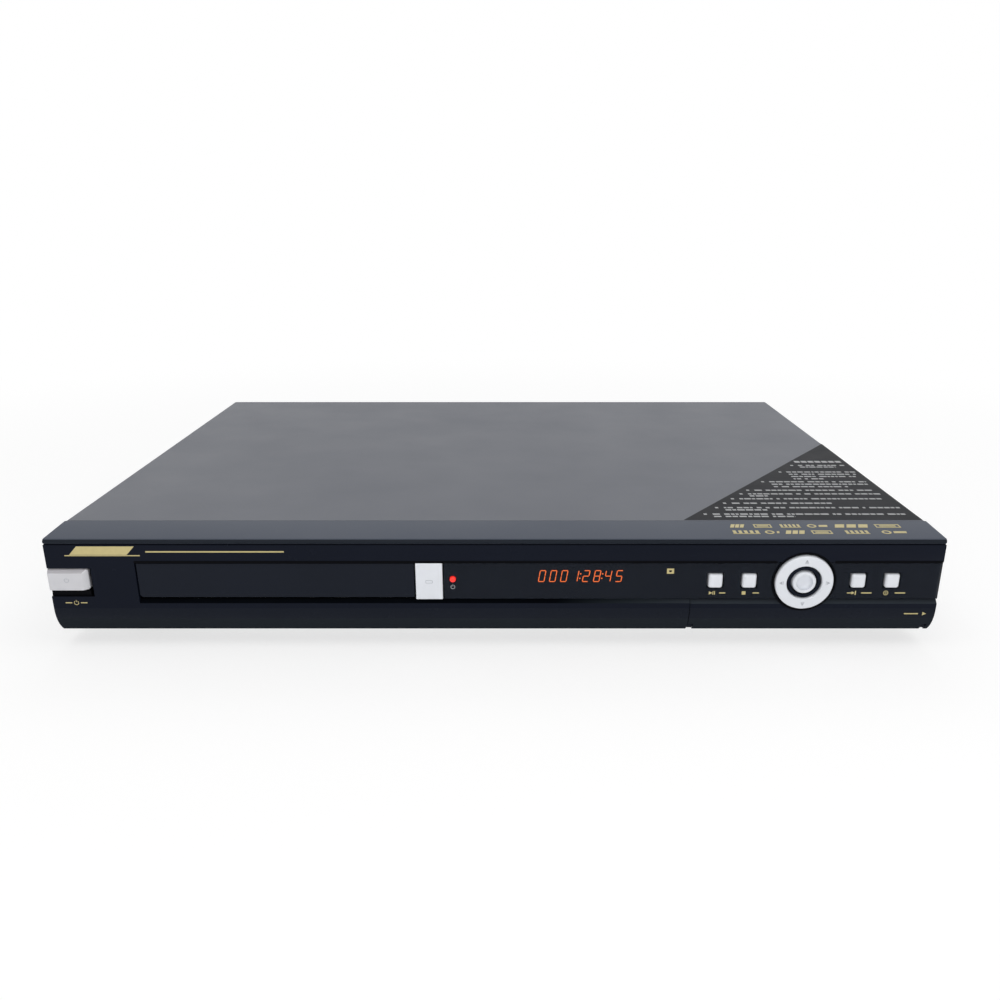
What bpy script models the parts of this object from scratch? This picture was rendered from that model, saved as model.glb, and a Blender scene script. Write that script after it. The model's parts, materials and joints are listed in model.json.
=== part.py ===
"""Hard disk and disc recorder, one object for each piece. Metres, +Z up, front towards -Y.

Places on the front are given as a depth behind the front lip and a drop below the lid.
"""

import math

import bmesh
import bpy
from mathutils import Matrix, Vector

# Whole case
CASE_WIDTH = 0.430
CASE_DEPTH = 0.3482
CASE_HEIGHT = 0.0515
FOOT_HEIGHT = 0.008
SOCKET_STANDOUT = 0.008
GAP = 0.0003
OVERRUN = 0.004

# Front panel section
TRIM_DEPTH = 0.0262
TRIM_THICKNESS = 0.0032
TRIM_FALL = 0.0010
NOSE_RADIUS = 0.0017
NOSE_DROP = 0.0024
NOSE_TURN = math.radians(80)
NOSE_STEPS = 5
FACE_LEAN = math.radians(5.07)
PANEL_WALL = 0.0022
GROOVE_HEIGHT = 0.0006
GROOVE_DEPTH = 0.0012
UNDERCUT_HEIGHT = 0.0140
UNDERCUT_RADIUS = 0.0200
UNDERCUT_STEPS = 8

# Recess along the front
RECESS_SIDE_MARGIN = 0.0422
RECESS_TOP_DROP = 0.0130
RECESS_BOTTOM_HEIGHT = 0.0185
RECESS_CHAMFER = 0.0018
WINDOW_SIDE_GAP = 0.0006
WINDOW_THICKNESS = 0.0022
WINDOW_SINK = 0.0004
WINDOW_EDGE_GAP = 0.0004
BACKING_THICKNESS = 0.0020
BACKING_MARGIN = 0.0015

# Display
DISPLAY_LEFT_MARGIN = 0.0216
DISPLAY_RIGHT_MARGIN = 0.0315
DISPLAY_MARGIN = 0.0020
DISPLAY_RIM = 0.0020
LED_MARGIN = 0.0043
LED_RISE = 0.0009
LED_RADIUS = 0.00145
LED_FLANGE_RADIUS = 0.0020
LED_FLANGE_THICKNESS = 0.0010
LED_LEG_SIDE = 0.0012

# Buttons
BUTTON_CLEARANCE = 0.0004
BUTTON_TRAVEL = 0.0010
STEM_REACH_GAP = 0.0004
FUNCTION_WIDTH = 0.0069
FUNCTION_HEIGHT = 0.0074
FUNCTION_PROUD = 0.0007
FUNCTION_RISE = 0.0001
FUNCTION_NEAR_OFFSET = 0.0263
FUNCTION_FAR_OFFSET = 0.0426
FUNCTION_FLANGE_MARGIN = 0.0011
FUNCTION_FLANGE_THICKNESS = 0.0012
FUNCTION_CROWN = 0.0007
STEM_RADIUS = 0.0016
EJECT_SIDE_GAP = 0.0007
EJECT_WIDTH = 0.0130
EJECT_EDGE_GAP = 0.0003
EJECT_THICKNESS = 0.0034
EJECT_PROUD = 0.0002
STANDBY_WIDTH = 0.0200
STANDBY_RISE = 0.0064
STANDBY_HEIGHT = 0.0112
STANDBY_THICKNESS = 0.0030
STANDBY_PROUD = 0.0007
STANDBY_WING = 0.0062
STANDBY_WING_WALL = 0.0018
STANDBY_CROWN = 0.0008
STANDBY_SHADOW = 0.0034
STANDBY_SIDE_GAP = 0.0009
POCKET_DEPTH = 0.0082
POCKET_WALL = 0.0015

# Dial
DIAL_MARGIN = 0.0659
DIAL_FALL = 0.0003
DIAL_RADIUS = 0.0142
DIAL_BORE = 0.0085
DIAL_THICKNESS = 0.0030
DIAL_PROUD = 0.0014
DIAL_DISH = 0.0004
DIAL_OVERHANG = 0.0008
CUP_RADIUS = 0.0150
CUP_WALL = 0.0020
CUP_DEPTH = 0.0060
CUP_FLOOR = 0.0015
COLLAR_RADIUS = 0.0080
COLLAR_BORE = 0.0065
COLLAR_PROUD = 0.0004
GIMBAL_INNER = 0.0092
GIMBAL_OUTER = 0.0115
GIMBAL_THICKNESS = 0.0016
GIMBAL_DEPTH = 0.0034
GIMBAL_PIN = 0.0006
GIMBAL_HOLE = 0.0009
DIAL_LUG_THICKNESS = 0.0015
DIAL_LUG_WIDTH = 0.0030
DIAL_LUG_GAP = 0.0004
CENTRE_RADIUS = 0.00605
CENTRE_PROUD = 0.0014
CENTRE_DEPTH = 0.0046
CENTRE_DIMPLE_RADIUS = 0.0041
CENTRE_DIMPLE_DEPTH = 0.0008
CENTRE_STEM_RADIUS = 0.0020

# Flap and the socket bay behind it
FLAP_WIDTH = 0.1199
FLAP_THICKNESS = 0.0020
FLAP_HINGE_SETBACK = 0.0069
FLAP_HINGE_RISE = 0.0030
FLAP_PIN_RADIUS = 0.0010
FLAP_LUG_RADIUS = 0.0017
FLAP_EAR_RADIUS = 0.0020
FLAP_EAR_REAR = 0.0160
FLAP_CUT_RADIUS = 0.0033
FLAP_LUG_WIDTH = 0.0020
FLAP_NOTCH_RADIUS = 0.0154
FLAP_FLOOR_CLEARANCE = 0.0035
EAR_STEPS = 8
BAY_WALL = 0.0018
BAY_ROOF = 0.0036
BAY_DEPTH = 0.0196
USB_MARGIN = 0.0169
USB_WIDTH = 0.0141
USB_HEIGHT = 0.0067
USB_WALL = 0.0007
USB_LENGTH = 0.0114
SOCKET_PITCH = 0.0135
FRONT_SOCKETS = 3
FRONT_SOCKET_MARGIN = 0.0255
SOCKET_RADIUS = 0.0042
SOCKET_CONTACT_RADIUS = 0.0016
FRONT_SOCKET_LENGTH = 0.0096
FRONT_SOCKET_HEIGHT = 0.0090
SOCKET_BLOCK_THICKNESS = 0.0025
SOCKET_BLOCK_HEIGHT = 0.0105
FRONT_BOARD_DEPTH = 0.0242
BOARD_THICKNESS = 0.0016
FRONT_BOARD_EDGE_GAP = 0.0040
FRONT_BOARD_SIDE_GAP = 0.0030
SWITCH_SIDE = 0.0060
SWITCH_HEIGHT = 0.0080
STANDBY_BOARD_WIDTH = 0.0160
STANDBY_BOARD_HEIGHT = 0.0150

# Tray door and tray
DOOR_SIDE_GAP = 0.0005
DOOR_WIDTH = 0.1334
DOOR_TOP_GAP = 0.0009
DOOR_BOTTOM_GAP = 0.0012
DOOR_THICKNESS = 0.0032
DOOR_SINK = 0.0005
DOOR_CORNER = 0.0012
TRAY_WIDTH = 0.1280
TRAY_REAR_DEPTH = 0.190
TRAY_BOTTOM = 0.0330
TRAY_THICKNESS = 0.0070
DISC_RADIUS = 0.0608
DISC_SEAT_DEPTH = 0.0024
SMALL_DISC_RADIUS = 0.0406
SMALL_DISC_SEAT_DEPTH = 0.0034
SPINDLE_DEPTH = 0.0700
TRAY_SLOT_WIDTH = 0.0420
TRAY_SLOT_FRONT = 0.0170

# Rack and gears
GEAR_MODULE = 0.001
PINION_TEETH = 18
TOOTH_RISE = 0.0008
TOOTH_FALL = 0.0011
TOOTH_TIP_SHARE = 0.20
TOOTH_PITCH_SHARE = 0.40
TOOTH_ROOT_SHARE = 0.56
RACK_TEETH = 48
RACK_INSET = 0.0101
RACK_BODY = 0.0030
RACK_HEIGHT = 0.0037
PINION_DEPTH = 0.0400
PINION_BOTTOM = 0.0290
PINION_TOP_GAP = 0.0005
PULLEY_RADIUS = 0.0130
PULLEY_GROOVE = 0.0014
PULLEY_BOTTOM = 0.0210
PULLEY_HEIGHT = 0.0050
MOTOR_PULLEY_RADIUS = 0.0042
SHAFT_PIN_RADIUS = 0.0020
RUN_GAP = 0.0002
BELT_SIDE = 0.0012
LOAD_MOTOR_DEPTH = 0.0840
LOAD_MOTOR_RADIUS = 0.0100
LOAD_MOTOR_SHAFT = 0.0010

# Disc drive chassis
DRIVE_WIDTH = 0.1460
DRIVE_FRONT = 0.0285
DRIVE_REAR = 0.2050
DRIVE_BOTTOM = 0.0120
DRIVE_TOP = 0.0500
DRIVE_WALL = 0.0030
DRIVE_FLOOR = 0.0020
GUIDE_GAP = 0.0003
GUIDE_SIDE_GAP = 0.0004
GUIDE_UNDER = 0.0036
GUIDE_OVER = 0.0020
GUIDE_LIP = 0.0020
CAM_RIB = 0.0015
CAM_RIB_HEIGHT = 0.0015
EAR_THICKNESS = 0.0040
EAR_WIDTH = 0.0100

# Clamp
BRIDGE_THICKNESS = 0.0010
BRIDGE_WIDTH = 0.0340
BRIDGE_HOLE = 0.0132
PUCK_FLANGE = 0.0160
PUCK_FLANGE_THICKNESS = 0.0024
PUCK_BOSS = 0.0122

# Traverse mechanism
BASE_WIDTH = 0.0670
BASE_FRONT = 0.0500
BASE_REAR = 0.1560
BASE_BOTTOM = 0.0240
BASE_THICKNESS = 0.0060
BASE_OPENING_WIDTH = 0.0410
BASE_OPENING_FRONT = 0.0830
BASE_OPENING_REAR = 0.1460
BASE_TILT = math.radians(5.0)
PIVOT_DEPTH = 0.1520
PIVOT_RADIUS = 0.0020
PIVOT_LENGTH = 0.0050
SPINDLE_MOTOR_RADIUS = 0.0120
SPINDLE_MOTOR_HEIGHT = 0.0060
TURNTABLE_RADIUS = 0.0145
TURNTABLE_THICKNESS = 0.0020
HUB_RADIUS = 0.0074
HUB_HEIGHT = 0.0025
HUB_TAPER = 0.0008
ROD_RADIUS = 0.0015
ROD_INSET = 0.0050
ROD_END = 0.0030
SCREW_RADIUS = 0.0016
SCREW_RIDGE = 0.0005
SCREW_RIDGES = 12
SLED_WIDTH = 0.0350
SLED_LENGTH = 0.0230
SLED_BOTTOM_RISE = 0.0010
SLED_THICKNESS = 0.0050
SLED_START_GAP = 0.0012
SLED_BLOCK_INSET = 0.0015
LENS_RADIUS = 0.0030
LENS_HEIGHT = 0.0012
SLED_BLOCK_LENGTH = 0.0160
SLED_BLOCK_WIDTH = 0.0058
SLED_MOTOR_RADIUS = 0.0030
SLED_MOTOR_LENGTH = 0.0100

# Cam slider
CAM_LENGTH = 0.0600
CAM_THICKNESS = 0.0040
CAM_DEPTH = 0.0400
CAM_TOP = 0.0315
CAM_TRAVEL = 0.0160
CAM_PIN_RADIUS = 0.0016
CAM_PIN_REACH = 0.0012
CAM_SLOT_RADIUS = 0.0022

# Steel case
SHEET = 0.0010
SHELL_CORNER = 0.0016
COVER_OVERHANG = 0.0017
FLANGE_HEIGHT = 0.0120
VENT_COUNT = 9
VENT_PITCH = 0.0090
VENT_WIDTH = 0.0030
VENT_HEIGHT = 0.0180
VENT_REAR_MARGIN = 0.0420
VENT_TOP_DROP = 0.0140
FOOT_RADIUS = 0.0150
FOOT_TOP_RADIUS = 0.0165
FOOT_INSET = 0.0400
FOOT_FRONT_DEPTH = 0.0500
FOOT_PAD_RECESS = 0.0008
FOOT_SCREW_RADIUS = 0.0040
POST_RADIUS = 0.0030
POST_SINK = 0.0004

# Hard disk
DISK_MARGIN = 0.1030
DISK_FRONT = 0.0620
DISK_WIDTH = 0.1016
DISK_LENGTH = 0.1470
BRACKET_BOTTOM = 0.0120
BRACKET_SHEET = 0.0012
BRACKET_SIDE = 0.0140
BRACKET_LEG = 0.0090
DISK_BOARD_INSET = 0.0020
DISK_BOARD_LENGTH = 0.1050
DISK_CASE_HEIGHT = 0.0215
DISK_WALL = 0.0023
DISK_FLOOR = 0.0060
DISK_COVER_THICKNESS = 0.0020
PLATTER_RADIUS = 0.0475
PLATTER_THICKNESS = 0.0013
PLATTER_RISE = 0.0075
PLATTER_HUB_RADIUS = 0.0125
PLATTER_CLAMP_HEIGHT = 0.0020
PLATTER_CENTRE_DEPTH = 0.0508
ARM_PIVOT_SIDE = 0.0240
ARM_PIVOT_BEHIND = 0.0550
ARM_PIVOT_RADIUS = 0.0065
ARM_LENGTH = 0.0500
ARM_ROOT_WIDTH = 0.0110
ARM_TIP_WIDTH = 0.0036
ARM_THICKNESS = 0.0012
ARM_RISE = 0.0008
ARM_TAIL = 0.0150
ARM_TAIL_WIDTH = 0.0160
ARM_PARK_RADIUS = 0.0180

# Boards and power
BOARD_LEVEL = 0.0200
POWER_MARGIN = 0.0120
POWER_WIDTH = 0.1430
POWER_FRONT_GAP = 0.0170
POWER_REAR_GAP = 0.0212
BOARD_POST_INSET = 0.0060
TRANSFORMER_MARGIN = 0.1150
TRANSFORMER_DEPTH_SHARE = 0.47
TRANSFORMER_WIDTH = 0.0360
TRANSFORMER_LENGTH = 0.0300
TRANSFORMER_HEIGHT = 0.0270
CORE_THICKNESS = 0.0120
CORE_MARGIN = 0.0040
CAPACITOR_MARGIN = 0.0310
CAPACITOR_DEPTH_SHARE = 0.275
CAPACITOR_RADIUS = 0.0110
CAPACITOR_HEIGHT = 0.0270
CAPACITOR_DIMPLE = 0.0006
SINK_MARGIN = 0.0690
SINK_DEPTH_SHARE = 0.14
SINK_LENGTH_SHARE = 0.49
SINK_HEIGHT = 0.0240
SINK_SHEET = 0.0022
SINK_FIN = 0.0070
SINK_FINS = 5
MAIN_LEFT_GAP = 0.0400
MAIN_MARGIN = 0.0100
MAIN_FRONT_GAP = 0.0290
MAIN_REAR_GAP = 0.0052
CHIP_HEIGHT = 0.0018
CHIP_SHARES = ((0.30, 0.42, 0.125), (0.55, 0.40, 0.098), (0.46, 0.16, 0.062), (0.66, 0.14, 0.062))
CONNECTOR_WIDTH = 0.0500
CONNECTOR_LENGTH = 0.0080
CONNECTOR_HEIGHT = 0.0080
CABLE_WIDTH = 0.0460
CABLE_THICKNESS = 0.0010
CABLE_ARCH = 0.0120
CABLE_STEPS = 10

# Rear
INLET_MARGIN = 0.0180
INLET_LEVEL = 0.0290
INLET_WIDTH = 0.0220
INLET_HEIGHT = 0.0130
INLET_FLANGE = 0.0020
INLET_FLANGE_THICKNESS = 0.0008
INLET_WALL = 0.0020
INLET_LENGTH = 0.0160
INLET_FLOOR = 0.0060
SOCKET_COLUMNS = 6
SOCKET_ROWS = 2
SOCKET_BLOCK_OFFSET = 0.1060
SOCKET_ROW_LEVEL = 0.0300
SOCKET_ROW_PITCH = 0.0150
SOCKET_BODY_DEPTH = 0.0110
SOCKET_HOLE_GAP = 0.0003
TUNER_MARGIN = 0.0430
TUNER_WIDTH = 0.0560
TUNER_LENGTH_SHARE = 0.49
TUNER_HEIGHT = 0.0280
AERIAL_RADIUS = 0.0047
AERIAL_BORE = 0.0019
AERIAL_OFFSET = 0.0130
FAN_MARGIN = 0.0930
FAN_SIDE = 0.0400
FAN_THICKNESS = 0.0150
FAN_LEVEL = 0.0340
FAN_BORE = 0.0185
FAN_TIP = 0.0178
FAN_HUB = 0.0080
FAN_BLADES = 7
FAN_BLADE_THICKNESS = 0.0010
FAN_BLADE_PITCH = math.radians(38)
FAN_BLADE_SPAN = math.radians(28)
FAN_STRUT = 0.0022
FAN_PLATE = 0.0020
GRILLE_SLOTS = 6
GRILLE_SLOT_HEIGHT = 0.0032
GRILLE_PITCH = 0.0056

# Facets
ROUND = 32
SMALL_ROUND = 16
FINE_ROUND = 48
QUARTER_STEPS = 3
SHARP_ANGLE = math.radians(30)

# Derived places
HALF_WIDTH = CASE_WIDTH / 2
TOP_LEVEL = FOOT_HEIGHT + CASE_HEIGHT
FRONT_Y = (DIAL_OVERHANG - CASE_DEPTH - SOCKET_STANDOUT) / 2
PANEL_TOP_DROP = TRIM_THICKNESS + GAP
SHELL_FRONT = TRIM_DEPTH + GAP
SHELL_HALF = HALF_WIDTH - SHEET - GAP
REAR_FACE_DEPTH = CASE_DEPTH - COVER_OVERHANG
REAR_INNER_DEPTH = REAR_FACE_DEPTH - SHEET - GAP
PAN_TOP = FOOT_HEIGHT + SHEET
UNDERCUT_DROP = CASE_HEIGHT - UNDERCUT_HEIGHT
RECESS_BOTTOM_DROP = CASE_HEIGHT - RECESS_BOTTOM_HEIGHT
RECESS_HEIGHT = RECESS_BOTTOM_DROP - RECESS_TOP_DROP
RECESS_MIDDLE_DROP = (RECESS_TOP_DROP + RECESS_BOTTOM_DROP) / 2
LED_DROP = RECESS_MIDDLE_DROP - LED_RISE
FUNCTION_DROP = RECESS_MIDDLE_DROP - FUNCTION_RISE
DIAL_DROP = RECESS_MIDDLE_DROP + DIAL_FALL
STANDBY_TOP_DROP = RECESS_MIDDLE_DROP - STANDBY_RISE
EJECT_HEIGHT = RECESS_HEIGHT - EJECT_EDGE_GAP * 2
DOOR_TOP_DROP = RECESS_TOP_DROP + DOOR_TOP_GAP
DOOR_HEIGHT = RECESS_HEIGHT - DOOR_TOP_GAP - DOOR_BOTTOM_GAP
DISPLAY_HEIGHT = RECESS_HEIGHT - DISPLAY_MARGIN * 2
FLAP_HINGE_DEPTH = (UNDERCUT_DROP - NOSE_DROP) * math.tan(FACE_LEAN) + FLAP_HINGE_SETBACK
BAY_CEILING_DROP = RECESS_BOTTOM_DROP + BAY_ROOF
FRONT_SOCKET_DROP = CASE_HEIGHT - FRONT_SOCKET_HEIGHT
RECESS_LEFT = RECESS_SIDE_MARGIN - HALF_WIDTH
DOOR_LEFT = RECESS_LEFT + DOOR_SIDE_GAP
EJECT_LEFT = DOOR_LEFT + DOOR_WIDTH + EJECT_SIDE_GAP
WINDOW_LEFT = EJECT_LEFT + EJECT_WIDTH + WINDOW_SIDE_GAP
LED_X = WINDOW_LEFT + LED_MARGIN
DIAL_X = HALF_WIDTH - DIAL_MARGIN
DISPLAY_LEFT = WINDOW_LEFT + DISPLAY_LEFT_MARGIN
DISPLAY_WIDTH = DIAL_X - FUNCTION_FAR_OFFSET - DISPLAY_RIGHT_MARGIN - DISPLAY_LEFT
FLAP_LEFT = HALF_WIDTH - FLAP_WIDTH
USB_X = FLAP_LEFT + USB_MARGIN
FRONT_SOCKET_X = HALF_WIDTH - FRONT_SOCKET_MARGIN
DRIVE_X = DOOR_LEFT + DOOR_WIDTH / 2
DISK_X = HALF_WIDTH - DISK_MARGIN
POWER_LEFT = POWER_MARGIN - HALF_WIDTH
POWER_FRONT = DRIVE_REAR + POWER_FRONT_GAP
POWER_LENGTH = REAR_INNER_DEPTH - POWER_REAR_GAP - POWER_FRONT
TRANSFORMER_X = POWER_LEFT + TRANSFORMER_MARGIN
TRANSFORMER_DEPTH = POWER_FRONT + POWER_LENGTH * TRANSFORMER_DEPTH_SHARE
CAPACITOR_X = POWER_LEFT + CAPACITOR_MARGIN
CAPACITOR_DEPTH = POWER_FRONT + POWER_LENGTH * CAPACITOR_DEPTH_SHARE
SINK_X = POWER_LEFT + SINK_MARGIN
SINK_DEPTH = POWER_FRONT + POWER_LENGTH * SINK_DEPTH_SHARE
SINK_LENGTH = POWER_LENGTH * SINK_LENGTH_SHARE
INLET_X = POWER_LEFT + INLET_MARGIN
FAN_X = POWER_LEFT + FAN_MARGIN
MAIN_LEFT = POWER_LEFT + POWER_WIDTH + MAIN_LEFT_GAP
MAIN_WIDTH = HALF_WIDTH - MAIN_MARGIN - MAIN_LEFT
MAIN_FRONT = DISK_FRONT + DISK_LENGTH + MAIN_FRONT_GAP
MAIN_LENGTH = REAR_INNER_DEPTH - MAIN_REAR_GAP - MAIN_FRONT
TUNER_X = MAIN_LEFT + MAIN_WIDTH - TUNER_MARGIN
TUNER_LENGTH = MAIN_LENGTH * TUNER_LENGTH_SHARE
SOCKET_BLOCK_X = TUNER_X - SOCKET_BLOCK_OFFSET
DISK_BOARD_BOTTOM = BRACKET_BOTTOM + BRACKET_SHEET + GAP
DISK_CASE_BOTTOM = DISK_BOARD_BOTTOM + BOARD_THICKNESS + GAP
COMPONENT_LEVEL = BOARD_LEVEL + BOARD_THICKNESS + GAP
BACKING_FRONT = WINDOW_SINK + WINDOW_THICKNESS + GAP
BACKING_REAR = BACKING_FRONT + BACKING_THICKNESS

COLOURS = {
    "grey_paint": (0.205, 0.212, 0.240, 0.45, 0.0),
    "trim_grey": (0.130, 0.140, 0.165, 0.45, 0.0),
    "black_plastic": (0.014, 0.016, 0.024, 0.30, 0.0),
    "smoked_plastic": (0.022, 0.026, 0.032, 0.12, 0.0),
    "silver_plastic": (0.740, 0.760, 0.800, 0.35, 0.2),
    "grey_plastic": (0.250, 0.250, 0.260, 0.50, 0.0),
    "steel": (0.560, 0.570, 0.580, 0.35, 1.0),
    "aluminium": (0.620, 0.630, 0.640, 0.45, 1.0),
    "rubber": (0.020, 0.020, 0.020, 0.80, 0.0),
    "green_board": (0.020, 0.140, 0.060, 0.50, 0.0),
    "white_plastic": (0.700, 0.700, 0.680, 0.50, 0.0),
    "red_plastic": (0.800, 0.020, 0.010, 0.25, 0.0),
    "dark_plastic": (0.040, 0.040, 0.045, 0.50, 0.0),
    "copper": (0.550, 0.230, 0.100, 0.40, 1.0),
}


# Drawing helpers


def new_shape():
    return bmesh.new()


def prism(bm, outline, axis, low, high):
    """Adds a closed prism. The outline holds the two coordinates other than the axis, in X, Y, Z order."""
    slot = "xyz".index(axis)
    rings = []
    for level in (low, high):
        ring = []
        for pair in outline:
            point = list(pair)
            point.insert(slot, level)
            ring.append(bm.verts.new(point))
        rings.append(ring)
    bm.faces.new(rings[0])
    bm.faces.new(list(reversed(rings[1])))
    count = len(outline)
    for i in range(count):
        j = (i + 1) % count
        bm.faces.new((rings[0][i], rings[1][i], rings[1][j], rings[0][j]))


def box(bm, low, high):
    outline = [(low[0], low[1]), (high[0], low[1]), (high[0], high[1]), (low[0], high[1])]
    prism(bm, outline, "z", low[2], high[2])


def centred_box(bm, centre, size):
    low = [c - s / 2 for c, s in zip(centre, size)]
    high = [c + s / 2 for c, s in zip(centre, size)]
    box(bm, low, high)


def circle(across, along, radius, count=ROUND):
    turns = [2 * math.pi * (i + 0.5) / count for i in range(count)]
    return [(across + radius * math.cos(a), along + radius * math.sin(a)) for a in turns]


def rod(bm, axis, centre, radius, low, high, count=SMALL_ROUND):
    """Adds a round rod along an axis. The centre holds the other two coordinates."""
    prism(bm, circle(centre[0], centre[1], radius, count), axis, low, high)


def turned(bm, profile, centre, count=ROUND, closed=False):
    """Adds a shape turned about a vertical axis. The profile holds radius and height."""
    rings = []
    for radius, height in profile:
        if radius == 0:
            rings.append([bm.verts.new((centre[0], centre[1], height))])
            continue
        points = circle(centre[0], centre[1], radius, count)
        rings.append([bm.verts.new((x, y, height)) for x, y in points])
    pairs = list(zip(rings, rings[1:]))
    if closed:
        pairs.append((rings[-1], rings[0]))
    for lower, upper in pairs:
        for i in range(count):
            j = (i + 1) % count
            corners = [lower[i % len(lower)], lower[j % len(lower)]]
            corners += [upper[j % len(upper)], upper[i % len(upper)]]
            unique = list(dict.fromkeys(corners))
            if len(unique) > 2:
                bm.faces.new(unique)


def pillow(bm, centre, size, crown, inset):
    """Adds a plate in the X and Z axes whose front edge is bevelled. The centre is that of its front."""
    half = (size[0] / 2, size[2] / 2)
    rings = []
    for margin, depth in ((inset, 0), (0, crown), (0, size[1])):
        corners = ((-1, -1), (1, -1), (1, 1), (-1, 1))
        ring = []
        for side, rise in corners:
            x = centre[0] + side * (half[0] - margin)
            z = centre[2] + rise * (half[1] - margin)
            ring.append(bm.verts.new((x, centre[1] + depth, z)))
        rings.append(ring)
    bm.faces.new(rings[0])
    bm.faces.new(list(reversed(rings[-1])))
    for lower, upper in zip(rings, rings[1:]):
        for i in range(4):
            j = (i + 1) % 4
            bm.faces.new((lower[i], upper[i], upper[j], lower[j]))


def move(bm, matrix):
    bmesh.ops.transform(bm, matrix=matrix, verts=bm.verts[:])


def paint(obj, colour):
    existing = bpy.data.materials.get(colour)
    if existing is None:
        existing = bpy.data.materials.new(colour)
        existing.use_nodes = True
        shader = existing.node_tree.nodes["Principled BSDF"]
        red, green, blue, roughness, metallic = COLOURS[colour]
        shader.inputs["Base Color"].default_value = (red, green, blue, 1)
        shader.inputs["Roughness"].default_value = roughness
        shader.inputs["Metallic"].default_value = metallic
        existing.diffuse_color = (red, green, blue, 1)
    obj.data.materials.append(existing)


def make(name, bm, colour=None, pivot=None, smooth=False):
    """Turns a shape into an object whose origin is the pivot."""
    bmesh.ops.recalc_face_normals(bm, faces=bm.faces[:])
    pivot = Vector(pivot) if pivot is not None else Vector((0, 0, 0))
    bmesh.ops.translate(bm, vec=-pivot, verts=bm.verts[:])
    mesh = bpy.data.meshes.new(name)
    bm.to_mesh(mesh)
    bm.free()
    obj = bpy.data.objects.new(name, mesh)
    obj.location = pivot
    bpy.context.scene.collection.objects.link(obj)
    if smooth:
        mesh.shade_smooth()
        mesh.set_sharp_from_angle(angle=SHARP_ANGLE)
    if colour:
        paint(obj, colour)
    return obj


def combine(target, bm, label, operation):
    helper = make(f"{target.name}_{label}", bm)
    helper.hide_render = True
    helper.display_type = "WIRE"
    modifier = target.modifiers.new(label, "BOOLEAN")
    modifier.operation = operation
    modifier.object = helper
    modifier.solver = "EXACT"


def cut(target, bm, label):
    combine(target, bm, label, "DIFFERENCE")


def join(target, bm, label):
    combine(target, bm, label, "UNION")


# Places on the leaning front


def face_matrix():
    origin = Matrix.Translation((0, FRONT_Y, TOP_LEVEL - NOSE_DROP))
    return origin @ Matrix.Rotation(FACE_LEAN, 4, "X")


def face_up(drop):
    """Height along the leaning face of a drop below the lid."""
    return -(drop - NOSE_DROP) / math.cos(FACE_LEAN)


def face_depth(drop):
    """Depth of the leaning face behind the front lip."""
    return (drop - NOSE_DROP) * math.tan(FACE_LEAN)


def face_point(x, depth, drop):
    return face_matrix() @ Vector((x, depth, face_up(drop)))


def to_face(bm):
    move(bm, face_matrix())


def face_reach(depth, drop):
    """Distance into the panel, along the face's inward direction, of a depth behind the lip."""
    return (depth - face_depth(drop)) * math.cos(FACE_LEAN)


def undercut(inset):
    """Depth and drop points round the undercut, from the face to the bottom of the wall."""
    start_depth = face_depth(UNDERCUT_DROP)
    centre_depth = start_depth + UNDERCUT_RADIUS * math.cos(FACE_LEAN)
    centre_drop = UNDERCUT_DROP - UNDERCUT_RADIUS * math.sin(FACE_LEAN)
    radius = UNDERCUT_RADIUS - inset
    bottom = CASE_HEIGHT - max(inset, 0)
    last = math.asin(min(1, (bottom - centre_drop) / radius))
    points = []
    for i in range(UNDERCUT_STEPS + 1):
        angle = FACE_LEAN + (last - FACE_LEAN) * i / UNDERCUT_STEPS
        depth = centre_depth - radius * math.cos(angle)
        points.append((depth, centre_drop + radius * math.sin(angle)))
    return points


def section_points(pairs):
    """Turns depth and drop pairs into Y and Z pairs."""
    return [(FRONT_Y + depth, TOP_LEVEL - drop) for depth, drop in pairs]


def case_box(bm, x, depth, level):
    """Adds a box from ranges of X, of depth behind the lip and of height."""
    low = (x[0], FRONT_Y + depth[0], level[0])
    high = (x[1], FRONT_Y + depth[1], level[1])
    box(bm, low, high)


def face_box(bm, x, depth, drop):
    """Adds a box in the leaning frame from ranges of X, depth and drop. The shape is moved later."""
    box(bm, (x[0], depth[0], face_up(drop[1])), (x[1], depth[1], face_up(drop[0])))


# Front panel and trim


def make_top_trim():
    outline = [(TRIM_DEPTH, 0)]
    for i in range(NOSE_STEPS + 1):
        angle = NOSE_TURN * (1 - i / NOSE_STEPS)
        depth = NOSE_RADIUS * (1 - math.cos(angle))
        outline.append((depth, NOSE_DROP - (NOSE_DROP - TRIM_FALL) * math.sin(angle)))
    outline.append((face_depth(TRIM_THICKNESS), TRIM_THICKNESS))
    outline.append((TRIM_DEPTH, TRIM_THICKNESS))
    bm = new_shape()
    prism(bm, section_points(outline), "x", -HALF_WIDTH, HALF_WIDTH)
    return make("top_trim", bm, "trim_grey", smooth=True)


def panel_section(inset):
    """Closed depth and drop outline of the front panel, or of its hollow."""
    top = PANEL_TOP_DROP + inset
    rear = TRIM_DEPTH + (OVERRUN if inset else 0)
    shift = inset / math.cos(FACE_LEAN)
    if inset:
        front = [(face_depth(top) + shift, top)]
    else:
        lower = PANEL_TOP_DROP + GROOVE_HEIGHT
        front = [(GROOVE_DEPTH, top), (GROOVE_DEPTH, lower), (face_depth(lower), lower)]
    curve = undercut(inset)
    return [(rear, top)] + front + curve + [(rear, CASE_HEIGHT - inset)]


def panel_backing():
    """Thick bars behind the window strip, and the standby pocket."""
    bm = new_shape()
    low = WINDOW_LEFT - WINDOW_EDGE_GAP - BACKING_MARGIN
    high = HALF_WIDTH - PANEL_WALL / 2
    top = RECESS_TOP_DROP - BACKING_MARGIN
    bottom = RECESS_BOTTOM_DROP + RECESS_CHAMFER + BACKING_MARGIN
    face_box(bm, (low, high), (PANEL_WALL / 2, BACKING_REAR), (top, bottom))
    to_face(bm)
    return bm


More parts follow.
